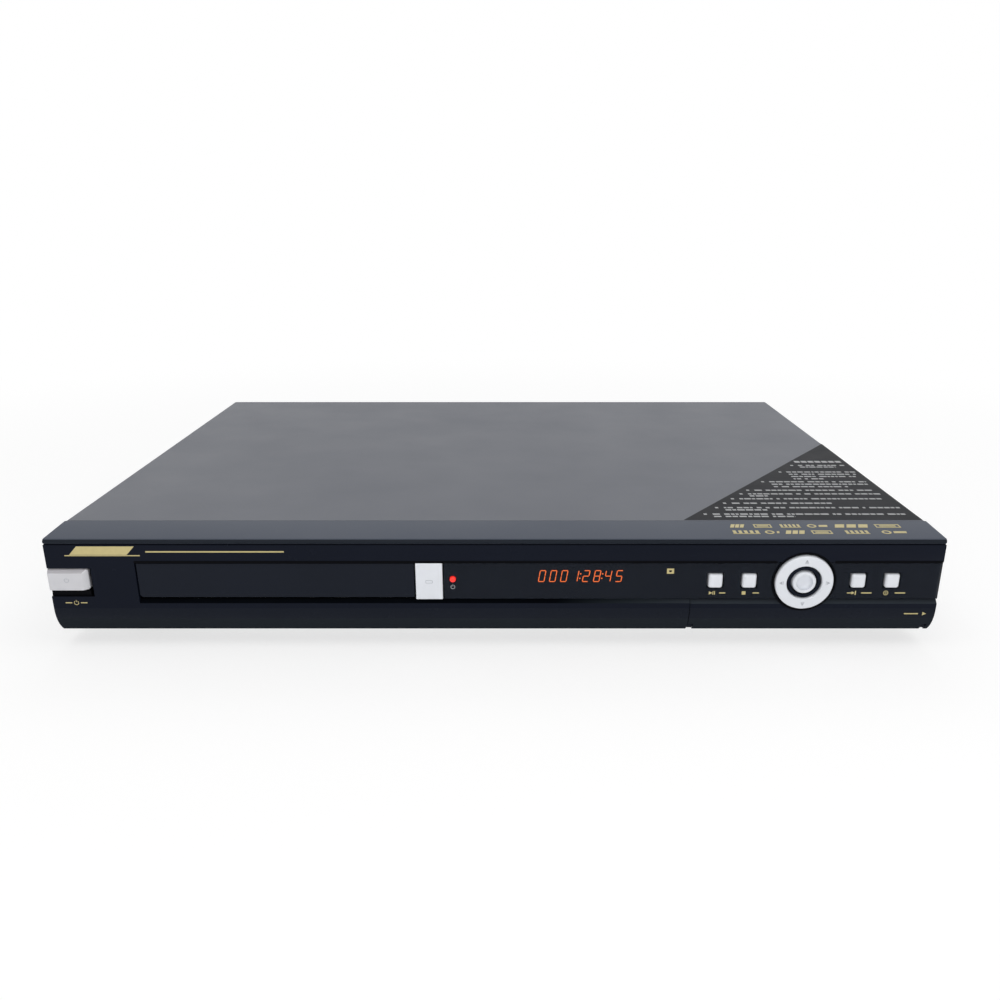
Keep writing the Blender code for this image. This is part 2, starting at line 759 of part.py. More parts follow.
def standby_ranges():
    left = -HALF_WIDTH
    right = left + STANDBY_WIDTH
    bottom = STANDBY_TOP_DROP + STANDBY_HEIGHT
    return left, right, bottom


def standby_pocket(inner):
    left, right, bottom = standby_ranges()
    wall = 0 if inner else POCKET_WALL
    start = left - OVERRUN if inner else left + PANEL_WALL / 2
    front = -OVERRUN if inner else PANEL_WALL / 2
    bm = new_shape()
    x = (start, right + STANDBY_SIDE_GAP + wall)
    depth = (front, POCKET_DEPTH + wall)
    drop = (STANDBY_TOP_DROP - BUTTON_CLEARANCE - wall, bottom + STANDBY_SHADOW + wall)
    face_box(bm, x, depth, drop)
    to_face(bm)
    return bm


def stem_hole(x, drop, radius):
    bm = new_shape()
    rod(bm, "y", (x, face_up(drop)), radius, PANEL_WALL / 2, DRIVE_FRONT)
    to_face(bm)
    return bm


def bay_shell(inner):
    """The socket bay behind the flap, or its hollow."""
    bm = new_shape()
    left, right = bay_sides()
    if inner:
        x = (left + BAY_WALL, right - BAY_WALL)
        depth = (-OVERRUN, BAY_DEPTH)
        drop = (BAY_CEILING_DROP, CASE_HEIGHT - PANEL_WALL)
    else:
        x = (left, right)
        depth = (face_depth(BAY_CEILING_DROP) + PANEL_WALL / 2, BAY_DEPTH + BAY_WALL)
        drop = (BAY_CEILING_DROP - BAY_WALL, CASE_HEIGHT - PANEL_WALL / 2)
    case_box(bm, x, depth, (TOP_LEVEL - drop[1], TOP_LEVEL - drop[0]))
    return bm


def dial_cup():
    bm = new_shape()
    centre = (DIAL_X, face_up(DIAL_DROP))
    rod(bm, "y", centre, CUP_RADIUS + CUP_WALL, PANEL_WALL / 2, CUP_DEPTH + CUP_FLOOR, ROUND)
    to_face(bm)
    return bm


def dial_hollow():
    bm = new_shape()
    centre = (DIAL_X, face_up(DIAL_DROP))
    rod(bm, "y", centre, CUP_RADIUS, -OVERRUN, CUP_DEPTH, ROUND)
    to_face(bm)
    return bm


def dial_collar():
    bm = new_shape()
    centre = (DIAL_X, face_up(DIAL_DROP))
    rod(bm, "y", centre, COLLAR_RADIUS, -COLLAR_PROUD, CUP_DEPTH + CUP_FLOOR / 2, ROUND)
    to_face(bm)
    return bm


def collar_bore():
    bm = new_shape()
    centre = (DIAL_X, face_up(DIAL_DROP))
    rod(bm, "y", centre, COLLAR_BORE, -OVERRUN, CUP_DEPTH, ROUND)
    to_face(bm)
    return bm


def gimbal_holes():
    """Two blind holes in the cup's wall for the gimbal's pins."""
    bm = new_shape()
    reach = CUP_WALL / 2
    for side in (-1, 1):
        ends = sorted((DIAL_X + side * (CUP_RADIUS - reach), DIAL_X + side * (CUP_RADIUS + reach)))
        rod(bm, "x", (GIMBAL_DEPTH, face_up(DIAL_DROP)), GIMBAL_HOLE, ends[0], ends[1], SMALL_ROUND)
    to_face(bm)
    return bm


def front_recess():
    """The long recess from the tray to the right end, with its chamfered lower edge."""
    bm = new_shape()
    top = face_up(RECESS_TOP_DROP)
    bottom = face_up(RECESS_BOTTOM_DROP)
    outline = [
        (-OVERRUN, top),
        (-OVERRUN, bottom - RECESS_CHAMFER - OVERRUN),
        (0, bottom - RECESS_CHAMFER),
        (RECESS_CHAMFER, bottom),
        (BACKING_FRONT, bottom),
        (BACKING_FRONT, top),
    ]
    prism(bm, outline, "x", RECESS_LEFT, HALF_WIDTH + OVERRUN)
    to_face(bm)
    return bm


def tray_opening():
    bm = new_shape()
    depth = (-OVERRUN, DRIVE_FRONT)
    drop = (RECESS_TOP_DROP + RUN_GAP, RECESS_BOTTOM_DROP - RUN_GAP)
    face_box(bm, (RECESS_LEFT + RUN_GAP, WINDOW_LEFT - GAP), depth, drop)
    to_face(bm)
    return bm


def button_holes(clearance, depth_range):
    bm = new_shape()
    for x in function_places():
        half = FUNCTION_WIDTH / 2 + clearance
        half = FUNCTION_HEIGHT / 2 + clearance
        drop = (FUNCTION_DROP - half, FUNCTION_DROP + half)
        face_box(bm, (x - half, x + half), depth_range, drop)
    to_face(bm)
    return bm


def display_opening():
    bm = new_shape()
    middle = (RECESS_TOP_DROP + RECESS_BOTTOM_DROP) / 2
    drop = (middle - DISPLAY_HEIGHT / 2, middle + DISPLAY_HEIGHT / 2)
    face_box(bm, (DISPLAY_LEFT, DISPLAY_LEFT + DISPLAY_WIDTH), (0, BACKING_REAR + OVERRUN), drop)
    to_face(bm)
    return bm


def light_hole():
    bm = new_shape()
    rod(bm, "y", (LED_X, face_up(LED_DROP)), LED_RADIUS + RUN_GAP, -OVERRUN, BACKING_REAR + OVERRUN)
    to_face(bm)
    return bm


def flap_space():
    """Space taken by the flap, its right end and its turning lower edge."""
    clearance = FLAP_THICKNESS + GAP
    inner = undercut(clearance)
    hinge = (FLAP_HINGE_DEPTH, CASE_HEIGHT - FLAP_HINGE_RISE)
    sweep = hinge[0] + FLAP_FLOOR_CLEARANCE
    shift = clearance / math.cos(FACE_LEAN)
    front = face_depth(RECESS_BOTTOM_DROP) + shift
    outline = [(-OVERRUN, RECESS_BOTTOM_DROP), (front, RECESS_BOTTOM_DROP)]
    outline += [point for point in inner if point[0] < hinge[0] - FLAP_PIN_RADIUS]
    outline.append((sweep, CASE_HEIGHT - PANEL_WALL - GAP))
    outline += [(sweep, CASE_HEIGHT + OVERRUN), (-OVERRUN, CASE_HEIGHT + OVERRUN)]
    bm = new_shape()
    prism(bm, section_points(outline), "x", FLAP_LEFT - GAP, HALF_WIDTH + OVERRUN)
    return bm


def flap_end_space():
    """Space at the right end, where the flap wraps round to its hinge."""
    sweep = FLAP_HINGE_DEPTH + FLAP_FLOOR_CLEARANCE
    hinge_level = CASE_HEIGHT - FLAP_HINGE_RISE - FLAP_FLOOR_CLEARANCE
    outline = [
        (-OVERRUN, RECESS_BOTTOM_DROP),
        (FLAP_HINGE_DEPTH + GAP, RECESS_BOTTOM_DROP),
        (FLAP_HINGE_DEPTH + GAP, hinge_level),
        (sweep, hinge_level + FLAP_FLOOR_CLEARANCE / 2),
        (sweep, CASE_HEIGHT + OVERRUN),
        (-OVERRUN, CASE_HEIGHT + OVERRUN),
    ]
    bm = new_shape()
    start = HALF_WIDTH - FLAP_THICKNESS - GAP
    prism(bm, section_points(outline), "x", start, HALF_WIDTH + OVERRUN)
    return bm


def hinge_place():
    return FRONT_Y + FLAP_HINGE_DEPTH, FOOT_HEIGHT + FLAP_HINGE_RISE


def bay_sides():
    return FLAP_LEFT + FLAP_PIN_RADIUS / 2, HALF_WIDTH - PANEL_WALL + GAP


def flap_ears():
    """The two ears at the ends of the bay that hold the flap's pins."""
    left, right = bay_sides()
    centre = hinge_place()
    ends = ((left - GAP * 2, left + BAY_WALL), (right - BAY_WALL, HALF_WIDTH - FLAP_THICKNESS - GAP))
    half = FLAP_EAR_RADIUS - GAP / 2
    bm = new_shape()
    for start, end in ends:
        outline = []
        for i in range(EAR_STEPS + 1):
            angle = math.pi / 2 + math.pi * i / EAR_STEPS
            outline.append((centre[0] + half * math.cos(angle), centre[1] + half * math.sin(angle)))
        outline.append((FRONT_Y + FLAP_EAR_REAR, centre[1] - half))
        outline.append((FRONT_Y + FLAP_EAR_REAR, centre[1] + half))
        prism(bm, outline, "x", start, end)
    return bm


def flap_cuts():
    """Room in the flap round the two ears, through which the ears pass as it opens."""
    left, right = bay_sides()
    bm = new_shape()
    rod(bm, "x", hinge_place(), FLAP_CUT_RADIUS, FLAP_LEFT - OVERRUN, flap_left_lug(), ROUND)
    end = HALF_WIDTH - FLAP_THICKNESS
    rod(bm, "x", hinge_place(), FLAP_CUT_RADIUS, right - BAY_WALL - GAP, end, ROUND)
    return bm


def flap_pin_holes():
    bm = new_shape()
    left, right = bay_sides()
    radius = FLAP_PIN_RADIUS + RUN_GAP
    rod(bm, "x", hinge_place(), radius, left - GAP, left + BAY_WALL + OVERRUN / 2)
    rod(bm, "x", hinge_place(), radius, right - BAY_WALL - OVERRUN / 2, HALF_WIDTH - FLAP_THICKNESS)
    return bm


def bay_holes():
    """Holes in the bay's rear wall for the sockets."""
    bm = new_shape()
    depth = (FRONT_Y + BAY_DEPTH - OVERRUN / 2, FRONT_Y + BAY_DEPTH + BAY_WALL + OVERRUN / 2)
    level = TOP_LEVEL - FRONT_SOCKET_DROP
    for x in front_socket_places():
        rod(bm, "y", (x, level), SOCKET_RADIUS + SOCKET_HOLE_GAP, depth[0], depth[1], SMALL_ROUND)
    half = (USB_WIDTH / 2 + GAP, USB_HEIGHT / 2 + GAP)
    box(bm, (USB_X - half[0], depth[0], level - half[1]), (USB_X + half[0], depth[1], level + half[1]))
    return bm


def make_front_panel():
    bm = new_shape()
    prism(bm, section_points(panel_section(0)), "x", -HALF_WIDTH, HALF_WIDTH)
    panel = make("front_panel", bm, "black_plastic")
    hollow = new_shape()
    side = HALF_WIDTH - PANEL_WALL
    prism(hollow, section_points(panel_section(PANEL_WALL)), "x", -side, side)
    cut(panel, hollow, "hollow")
    join(panel, panel_backing(), "backing")
    join(panel, standby_pocket(False), "pocket")
    join(panel, bay_shell(False), "bay")
    cut(panel, bay_shell(True), "bay_hollow")
    join(panel, dial_cup(), "cup")
    cut(panel, flap_space(), "flap_space")
    cut(panel, flap_end_space(), "flap_end_space")
    join(panel, flap_ears(), "flap_ears")
    cut(panel, front_recess(), "recess")
    cut(panel, dial_hollow(), "dial_hollow")
    join(panel, dial_collar(), "collar")
    cut(panel, collar_bore(), "collar_bore")
    cut(panel, gimbal_holes(), "gimbal_holes")
    cut(panel, tray_opening(), "tray_opening")
    cut(panel, standby_pocket(True), "pocket_hollow")
    standby = standby_stem_place()
    cut(panel, stem_hole(standby[0], standby[1], STEM_RADIUS + BUTTON_CLEARANCE), "standby_hole")
    cut(panel, stem_hole(DIAL_X, DIAL_DROP, CENTRE_STEM_RADIUS + BUTTON_CLEARANCE), "centre_hole")
    cut(panel, button_holes(BUTTON_CLEARANCE, (0, BACKING_REAR + OVERRUN)), "button_holes")
    cut(panel, display_opening(), "display_opening")
    cut(panel, light_hole(), "light_hole")
    cut(panel, flap_pin_holes(), "pin_holes")
    cut(panel, bay_holes(), "bay_holes")
    return panel


def function_places():
    offsets = (-FUNCTION_FAR_OFFSET, -FUNCTION_NEAR_OFFSET, FUNCTION_NEAR_OFFSET, FUNCTION_FAR_OFFSET)
    return [DIAL_X + offset for offset in offsets]


def front_socket_places():
    middle = (FRONT_SOCKETS - 1) / 2
    return [FRONT_SOCKET_X + (i - middle) * SOCKET_PITCH for i in range(FRONT_SOCKETS)]


def standby_stem_place():
    left, right, bottom = standby_ranges()
    return (left + right) / 2, (STANDBY_TOP_DROP + bottom) / 2


def window_strip(name, left, right):
    """One piece of the smoked strip in front of the backing."""
    bm = new_shape()
    depth = (WINDOW_SINK, WINDOW_SINK + WINDOW_THICKNESS)
    drop = (RECESS_TOP_DROP + WINDOW_EDGE_GAP, RECESS_BOTTOM_DROP - WINDOW_EDGE_GAP)
    face_box(bm, (left, right), depth, drop)
    to_face(bm)
    strip = make(name, bm, "smoked_plastic")
    round_space = new_shape()
    centre = (DIAL_X, face_up(DIAL_DROP))
    rod(round_space, "y", centre, CUP_RADIUS, -OVERRUN, BACKING_REAR, ROUND)
    to_face(round_space)
    cut(strip, round_space, "dial_space")
    cut(strip, button_holes(BUTTON_CLEARANCE, (-OVERRUN, BACKING_REAR)), "button_holes")
    return strip


def make_windows():
    left_strip = window_strip("display_window", WINDOW_LEFT, DIAL_X)
    cut(left_strip, light_hole(), "light_hole")
    window_strip("button_window", DIAL_X, HALF_WIDTH)


def make_function_button(number, x):
    bm = new_shape()
    front = -FUNCTION_PROUD
    flange_front = BACKING_REAR + GAP
    up = face_up(FUNCTION_DROP)
    size = (FUNCTION_WIDTH, flange_front - front + GAP, FUNCTION_HEIGHT)
    pillow(bm, (x, front, up), size, FUNCTION_CROWN, FUNCTION_CROWN)
    to_face(bm)
    pivot = face_point(x, 0, FUNCTION_DROP)
    button = make(f"function_button_{number}", bm, "silver_plastic", pivot)
    flange = new_shape()
    margin = FUNCTION_FLANGE_MARGIN
    flange_rear = flange_front + FUNCTION_FLANGE_THICKNESS
    low = (x - FUNCTION_WIDTH / 2 - margin, flange_front, up - FUNCTION_HEIGHT / 2 - margin)
    high = (x + FUNCTION_WIDTH / 2 + margin, flange_rear, up + FUNCTION_HEIGHT / 2 + margin)
    box(flange, low, high)
    to_face(flange)
    join(button, flange, "flange")
    stem = new_shape()
    rod(stem, "y", (x, up), STEM_RADIUS, flange_rear - GAP, switch_reach(FUNCTION_DROP))
    to_face(stem)
    join(button, stem, "stem")


def switch_reach(drop):
    """How far in a pressed stem may come, in the leaning frame, at rest."""
    front = FRONT_BOARD_DEPTH - SWITCH_HEIGHT
    return face_reach(front, drop + STEM_RADIUS) - BUTTON_TRAVEL - STEM_REACH_GAP


def make_eject_button():
    middle_drop = (RECESS_TOP_DROP + RECESS_BOTTOM_DROP) / 2
    up = face_up(middle_drop)
    x = EJECT_LEFT + EJECT_WIDTH / 2
    bm = new_shape()
    pillow(bm, (x, -EJECT_PROUD, up), (EJECT_WIDTH, EJECT_THICKNESS, EJECT_HEIGHT), GAP, GAP)
    to_face(bm)
    button = make("eject_button", bm, "silver_plastic", face_point(x, 0, middle_drop))
    stem = new_shape()
    rod(stem, "y", (x, up), STEM_RADIUS, EJECT_THICKNESS / 2, switch_reach(middle_drop))
    to_face(stem)
    join(button, stem, "stem")


def make_standby_button():
    left, right, bottom = standby_ranges()
    middle, drop = standby_stem_place()
    up = face_up(drop)
    bm = new_shape()
    size = (STANDBY_WIDTH - STANDBY_CROWN, STANDBY_THICKNESS + STANDBY_PROUD, STANDBY_HEIGHT)
    pillow(bm, (middle - STANDBY_CROWN / 2, -STANDBY_PROUD, up), size, STANDBY_CROWN, STANDBY_CROWN)
    to_face(bm)
    button = make("standby_button", bm, "silver_plastic", face_point(middle, 0, drop))
    wing = new_shape()
    half = STANDBY_HEIGHT / 2 - GAP
    box(wing, (left, STANDBY_CROWN, up - half), (left + STANDBY_WING_WALL, STANDBY_WING, up + half))
    to_face(wing)
    join(button, wing, "wing")
    stem = new_shape()
    rod(stem, "y", (middle, up), STEM_RADIUS, STANDBY_THICKNESS / 2, switch_reach(drop))
    to_face(stem)
    join(button, stem, "stem")


# Dial


def make_dial_button():
    centre = (DIAL_X, face_up(DIAL_DROP))
    profile = [
        (0, CENTRE_DIMPLE_DEPTH - CENTRE_PROUD),
        (CENTRE_DIMPLE_RADIUS - CENTRE_DIMPLE_DEPTH, CENTRE_DIMPLE_DEPTH - CENTRE_PROUD),
        (CENTRE_DIMPLE_RADIUS, -CENTRE_PROUD),
        (CENTRE_RADIUS - CENTRE_DIMPLE_DEPTH, -CENTRE_PROUD),
        (CENTRE_RADIUS, CENTRE_DIMPLE_DEPTH - CENTRE_PROUD),
        (CENTRE_RADIUS, CENTRE_DEPTH),
        (CENTRE_STEM_RADIUS, CENTRE_DEPTH),
        (CENTRE_STEM_RADIUS, switch_reach(DIAL_DROP)),
        (0, switch_reach(DIAL_DROP)),
    ]
    bm = new_shape()
    turned(bm, profile, (0, 0))
    lay_down(bm, centre)
    make("dial_button", bm, "silver_plastic", face_point(DIAL_X, 0, DIAL_DROP), smooth=True)


def lay_down(bm, centre):
    """Turns a shape about Z into one whose axis runs into the leaning face at the centre."""
    turn = Matrix.Rotation(math.radians(-90), 4, "X")
    move(bm, Matrix.Translation((centre[0], 0, centre[1])) @ turn)
    to_face(bm)


def make_dial_ring():
    front = -DIAL_PROUD
    rear = front + DIAL_THICKNESS
    profile = [
        (DIAL_BORE, rear),
        (DIAL_BORE, front + DIAL_DISH),
        (DIAL_BORE + DIAL_DISH, front),
        (DIAL_RADIUS - DIAL_DISH, front),
        (DIAL_RADIUS, front + DIAL_DISH),
        (DIAL_RADIUS, rear),
    ]
    centre = (DIAL_X, face_up(DIAL_DROP))
    bm = new_shape()
    turned(bm, profile, (0, 0), FINE_ROUND, closed=True)
    lay_down(bm, centre)
    ring = make("dial_ring", bm, "silver_plastic", face_point(DIAL_X, GIMBAL_DEPTH, DIAL_DROP), smooth=True)
    inner = GIMBAL_OUTER + DIAL_LUG_GAP
    lugs = new_shape()
    pins = new_shape()
    for side in (-1, 1):
        ends = sorted((centre[1] + side * inner, centre[1] + side * (inner + DIAL_LUG_THICKNESS)))
        half = DIAL_LUG_WIDTH / 2
        low = (DIAL_X - half, rear - GAP, ends[0])
        high = (DIAL_X + half, GIMBAL_DEPTH + GIMBAL_HOLE, ends[1])
        box(lugs, low, high)
        near, far = inner - GIMBAL_HOLE, inner + DIAL_LUG_THICKNESS / 2
        reach = sorted((centre[1] + side * far, centre[1] + side * near))
        rod(pins, "z", (DIAL_X, GIMBAL_DEPTH), GIMBAL_PIN, reach[0], reach[1], SMALL_ROUND)
    to_face(lugs)
    to_face(pins)
    join(ring, lugs, "lugs")
    join(ring, pins, "pins")


def make_dial_gimbal():
    half = GIMBAL_THICKNESS / 2
    profile = [
        (GIMBAL_INNER, GIMBAL_DEPTH + half),
        (GIMBAL_INNER, GIMBAL_DEPTH - half),
        (GIMBAL_OUTER, GIMBAL_DEPTH - half),
        (GIMBAL_OUTER, GIMBAL_DEPTH + half),
    ]
    centre = (DIAL_X, face_up(DIAL_DROP))
    bm = new_shape()
    turned(bm, profile, (0, 0), ROUND, closed=True)
    lay_down(bm, centre)
    gimbal = make("dial_gimbal", bm, "grey_plastic", face_point(DIAL_X, GIMBAL_DEPTH, DIAL_DROP))
    pins = new_shape()
    for side in (-1, 1):
        tip = CUP_RADIUS + CUP_WALL / 2 - GAP
        ends = sorted((DIAL_X + side * (GIMBAL_OUTER - GIMBAL_PIN), DIAL_X + side * tip))
        rod(pins, "x", (GIMBAL_DEPTH, centre[1]), GIMBAL_PIN, ends[0], ends[1], SMALL_ROUND)
    to_face(pins)
    join(gimbal, pins, "pins")
    holes = new_shape()
    for side in (-1, 1):
        near, far = GIMBAL_OUTER - GIMBAL_THICKNESS, GIMBAL_OUTER + GIMBAL_PIN
        ends = sorted((centre[1] + side * near, centre[1] + side * far))
        centred = (DIAL_X, GIMBAL_DEPTH)
        rod(holes, "z", centred, GIMBAL_HOLE - RUN_GAP, ends[0], ends[1], SMALL_ROUND)
    to_face(holes)
    cut(gimbal, holes, "pin_holes")


# Flap


def flap_outline(inset):
    """Depth and drop points of the flap's outer or inner face, top to bottom."""
    shift = inset / math.cos(FACE_LEAN)
    top = RECESS_BOTTOM_DROP + GAP
    chamfer = RECESS_CHAMFER
    if inset:
        return [(face_depth(top) + shift, top)] + undercut(inset)
    lower = top + chamfer
    return [(face_depth(top) + chamfer, top), (face_depth(lower), lower)] + undercut(0)


def make_flap():
    outer = flap_outline(0)
    inner = flap_outline(FLAP_THICKNESS)
    bm = new_shape()
    outline = section_points(outer + list(reversed(inner)))
    prism(bm, outline, "x", FLAP_LEFT, HALF_WIDTH)
    hinge = Vector((DIAL_X, FRONT_Y + FLAP_HINGE_DEPTH, FOOT_HEIGHT + FLAP_HINGE_RISE))
    flap = make("flap_door", bm, "black_plastic", hinge)
    cut(flap, flap_cuts(), "ear_room")
    join(flap, flap_end(), "end")
    join(flap, flap_lugs(hinge), "lugs")
    join(flap, flap_pins(hinge), "pins")
    notch = new_shape()
    rod(notch, "y", (DIAL_X, face_up(DIAL_DROP)), FLAP_NOTCH_RADIUS, -OVERRUN, BAY_DEPTH / 2, FINE_ROUND)
    to_face(notch)
    cut(flap, notch, "notch")


def flap_end():
    """The end wall that wraps round the right side."""
    bottom = CASE_HEIGHT - FLAP_HINGE_RISE
    outline = flap_outline(0)
    outline += [(FLAP_HINGE_DEPTH, bottom + FLAP_LUG_RADIUS), (FLAP_HINGE_DEPTH, RECESS_BOTTOM_DROP + GAP)]
    bm = new_shape()
    prism(bm, section_points(outline), "x", HALF_WIDTH - FLAP_THICKNESS, HALF_WIDTH)
    return bm


def flap_lugs(hinge):
    """The lug at the left end that carries the hinge pin."""
    left = flap_left_lug()
    outline = circle(hinge.y, hinge.z, FLAP_LUG_RADIUS, SMALL_ROUND)
    bm = new_shape()
    prism(bm, outline, "x", left, left + FLAP_LUG_WIDTH)
    return bm


def flap_left_lug():
    return FLAP_LEFT + FLAP_PIN_RADIUS / 2 + BAY_WALL + GAP


def flap_pins(hinge):
    left = flap_left_lug()
    right = HALF_WIDTH - FLAP_THICKNESS
    bm = new_shape()
    rod(bm, "x", (hinge.y, hinge.z), FLAP_PIN_RADIUS, left - BAY_WALL, left + FLAP_LUG_WIDTH / 2)
    rod(bm, "x", (hinge.y, hinge.z), FLAP_PIN_RADIUS, right - BAY_WALL + GAP, right + FLAP_THICKNESS / 2)
    return bm


# Boards and sockets at the front


def make_display_module():
    middle = (RECESS_TOP_DROP + RECESS_BOTTOM_DROP) / 2
    level = TOP_LEVEL - middle
    x = (DISPLAY_LEFT - DISPLAY_RIM, DISPLAY_LEFT + DISPLAY_WIDTH + DISPLAY_RIM)
    half = DISPLAY_HEIGHT / 2 + DISPLAY_RIM
    front = face_depth(middle + half) + (BACKING_REAR + GAP) / math.cos(FACE_LEAN)
    bm = new_shape()
    case_box(bm, x, (front, FRONT_BOARD_DEPTH - GAP), (level - half, level + half))
    make("display_module", bm, "dark_plastic")


def make_standby_light():
    up = face_up(LED_DROP)
    bm = new_shape()
    rod(bm, "y", (LED_X, up), LED_RADIUS, 0, BACKING_REAR + GAP + LED_FLANGE_THICKNESS / 2)
    to_face(bm)
    light = make("standby_light", bm, "red_plastic", smooth=True)
    flange = new_shape()
    start = BACKING_REAR + GAP
    rod(flange, "y", (LED_X, up), LED_FLANGE_RADIUS, start, start + LED_FLANGE_THICKNESS)
    to_face(flange)
    join(light, flange, "flange")
    legs = new_shape()
    side = LED_LEG_SIDE / 2
    end = face_reach(FRONT_BOARD_DEPTH, LED_DROP + LED_LEG_SIDE) - GAP
    box(legs, (LED_X - side, start + LED_FLANGE_THICKNESS / 2, up - side), (LED_X + side, end, up + side))
    to_face(legs)
    join(light, legs, "legs")


def add_switch(bm, x, drop):
    half = SWITCH_SIDE / 2
    level = TOP_LEVEL - drop
    depth = (FRONT_BOARD_DEPTH - SWITCH_HEIGHT, FRONT_BOARD_DEPTH + BOARD_THICKNESS / 2)
    case_box(bm, (x - half, x + half), depth, (level - half, level + half))


def make_front_board():
    levels = (FOOT_HEIGHT + FRONT_BOARD_EDGE_GAP, TOP_LEVEL - PANEL_TOP_DROP - FRONT_BOARD_EDGE_GAP)
    depths = (FRONT_BOARD_DEPTH, FRONT_BOARD_DEPTH + BOARD_THICKNESS)
    left = EJECT_LEFT
    right = HALF_WIDTH - FRONT_BOARD_SIDE_GAP
    bm = new_shape()
    case_box(bm, (left, right), depths, levels)
    board = make("front_board", bm, "green_board")
    switches = new_shape()
    for x in function_places():
        add_switch(switches, x, FUNCTION_DROP)
    add_switch(switches, DIAL_X, DIAL_DROP)
    add_switch(switches, EJECT_LEFT + EJECT_WIDTH / 2, (RECESS_TOP_DROP + RECESS_BOTTOM_DROP) / 2)
    join(board, switches, "switches")


def make_standby_board():
    x, drop = standby_stem_place()
    level = TOP_LEVEL - drop
    half = (STANDBY_BOARD_WIDTH / 2, STANDBY_BOARD_HEIGHT / 2)
    left = -HALF_WIDTH + PANEL_WALL + GAP
    bm = new_shape()
    depth = (FRONT_BOARD_DEPTH, FRONT_BOARD_DEPTH + BOARD_THICKNESS)
    case_box(bm, (left, x + half[0]), depth, (level - half[1], level + half[1]))
    board = make("standby_board", bm, "green_board")
    switch = new_shape()
    add_switch(switch, x, drop)
    join(board, switch, "switch")


def make_front_sockets():
    places = front_socket_places()
    level = TOP_LEVEL - FRONT_SOCKET_DROP
    half = SOCKET_BLOCK_HEIGHT / 2
    start = BAY_DEPTH + BAY_WALL + GAP
    bm = new_shape()
    x = (places[0] - SOCKET_PITCH / 2 + GAP, places[-1] + SOCKET_PITCH / 2 - GAP)
    case_box(bm, x, (start, start + SOCKET_BLOCK_THICKNESS - GAP), (level - half, level + half))
    block = make("front_socket_block", bm, "dark_plastic")
    barrels = new_shape()
    bores = new_shape()
    front = FRONT_Y + BAY_DEPTH + BAY_WALL - FRONT_SOCKET_LENGTH
    rear = FRONT_Y + start + SOCKET_BLOCK_THICKNESS / 2
    for place in places:
        rod(barrels, "y", (place, level), SOCKET_RADIUS, front, rear, SMALL_ROUND)
        rod(bores, "y", (place, level), SOCKET_CONTACT_RADIUS, front - OVERRUN, rear - GAP, SMALL_ROUND)
    join(block, barrels, "barrels")
    cut(block, bores, "bores")


def make_serial_port():
    level = TOP_LEVEL - FRONT_SOCKET_DROP
    half = (USB_WIDTH / 2, USB_HEIGHT / 2)
    rear = BAY_DEPTH + BAY_WALL + GAP + SOCKET_BLOCK_THICKNESS - GAP
    front = rear - USB_LENGTH
    bm = new_shape()
    case_box(bm, (USB_X - half[0], USB_X + half[0]), (front, rear), (level - half[1], level + half[1]))
    port = make("serial_port", bm, "steel")
    mouth = new_shape()
    inner = (half[0] - USB_WALL, half[1] - USB_WALL)
    x = (USB_X - inner[0], USB_X + inner[0])
    case_box(mouth, x, (front - OVERRUN, rear - USB_WALL), (level - inner[1], level + inner[1]))
    cut(port, mouth, "mouth")


# Disc tray


def tray_front_depth():
    """The tray starts just behind the leaning door."""
    lowest = TOP_LEVEL - TRAY_BOTTOM
    return face_depth(lowest) + (DOOR_SINK + DOOR_THICKNESS + GAP) / math.cos(FACE_LEAN)


def make_tray_door():
    bm = new_shape()
    low = face_up(DOOR_TOP_DROP + DOOR_HEIGHT)
    high = face_up(DOOR_TOP_DROP)
    right = DOOR_LEFT + DOOR_WIDTH
    corner = DOOR_CORNER
    outline = [(DOOR_LEFT, high), (DOOR_LEFT, low + corner), (DOOR_LEFT + corner, low)]
    outline += [(right, low), (right, high)]
    prism(bm, outline, "y", DOOR_SINK, DOOR_SINK + DOOR_THICKNESS)
    to_face(bm)
    make("tray_door", bm, "black_plastic", (DRIVE_X, FRONT_Y, TOP_LEVEL - DOOR_TOP_DROP))


def make_disc_tray():
    spindle = (DRIVE_X, FRONT_Y + SPINDLE_DEPTH)
    half = TRAY_WIDTH / 2
    top = TRAY_BOTTOM + TRAY_THICKNESS
    bm = new_shape()
    case_box(bm, (DRIVE_X - half, DRIVE_X + half), (tray_front_depth(), TRAY_REAR_DEPTH), (TRAY_BOTTOM, top))
    tray = make("disc_tray", bm, "dark_plastic", (DRIVE_X, FRONT_Y, TRAY_BOTTOM))
    seat = new_shape()
    rod(seat, "z", spindle, DISC_RADIUS, top - DISC_SEAT_DEPTH, top + OVERRUN, FINE_ROUND)
    cut(tray, seat, "seat")
    small_seat = new_shape()
    rod(small_seat, "z", spindle, SMALL_DISC_RADIUS, top - SMALL_DISC_SEAT_DEPTH, top + OVERRUN, ROUND)
    cut(tray, small_seat, "small_seat")
    slot = new_shape()
    side = TRAY_SLOT_WIDTH / 2
    front = SPINDLE_DEPTH - TRAY_SLOT_FRONT
    depth = (front, TRAY_REAR_DEPTH + OVERRUN)
    case_box(slot, (DRIVE_X - side, DRIVE_X + side), depth, (TRAY_BOTTOM - OVERRUN, top + OVERRUN))
    cut(tray, slot, "slot")
    join(tray, rack_shape(), "rack")


def tooth_half(share):
    return share * math.pi * GEAR_MODULE / 2


def rack_line():
    """X of the rack's pitch line."""
    return DRIVE_X - TRAY_WIDTH / 2 + RACK_INSET


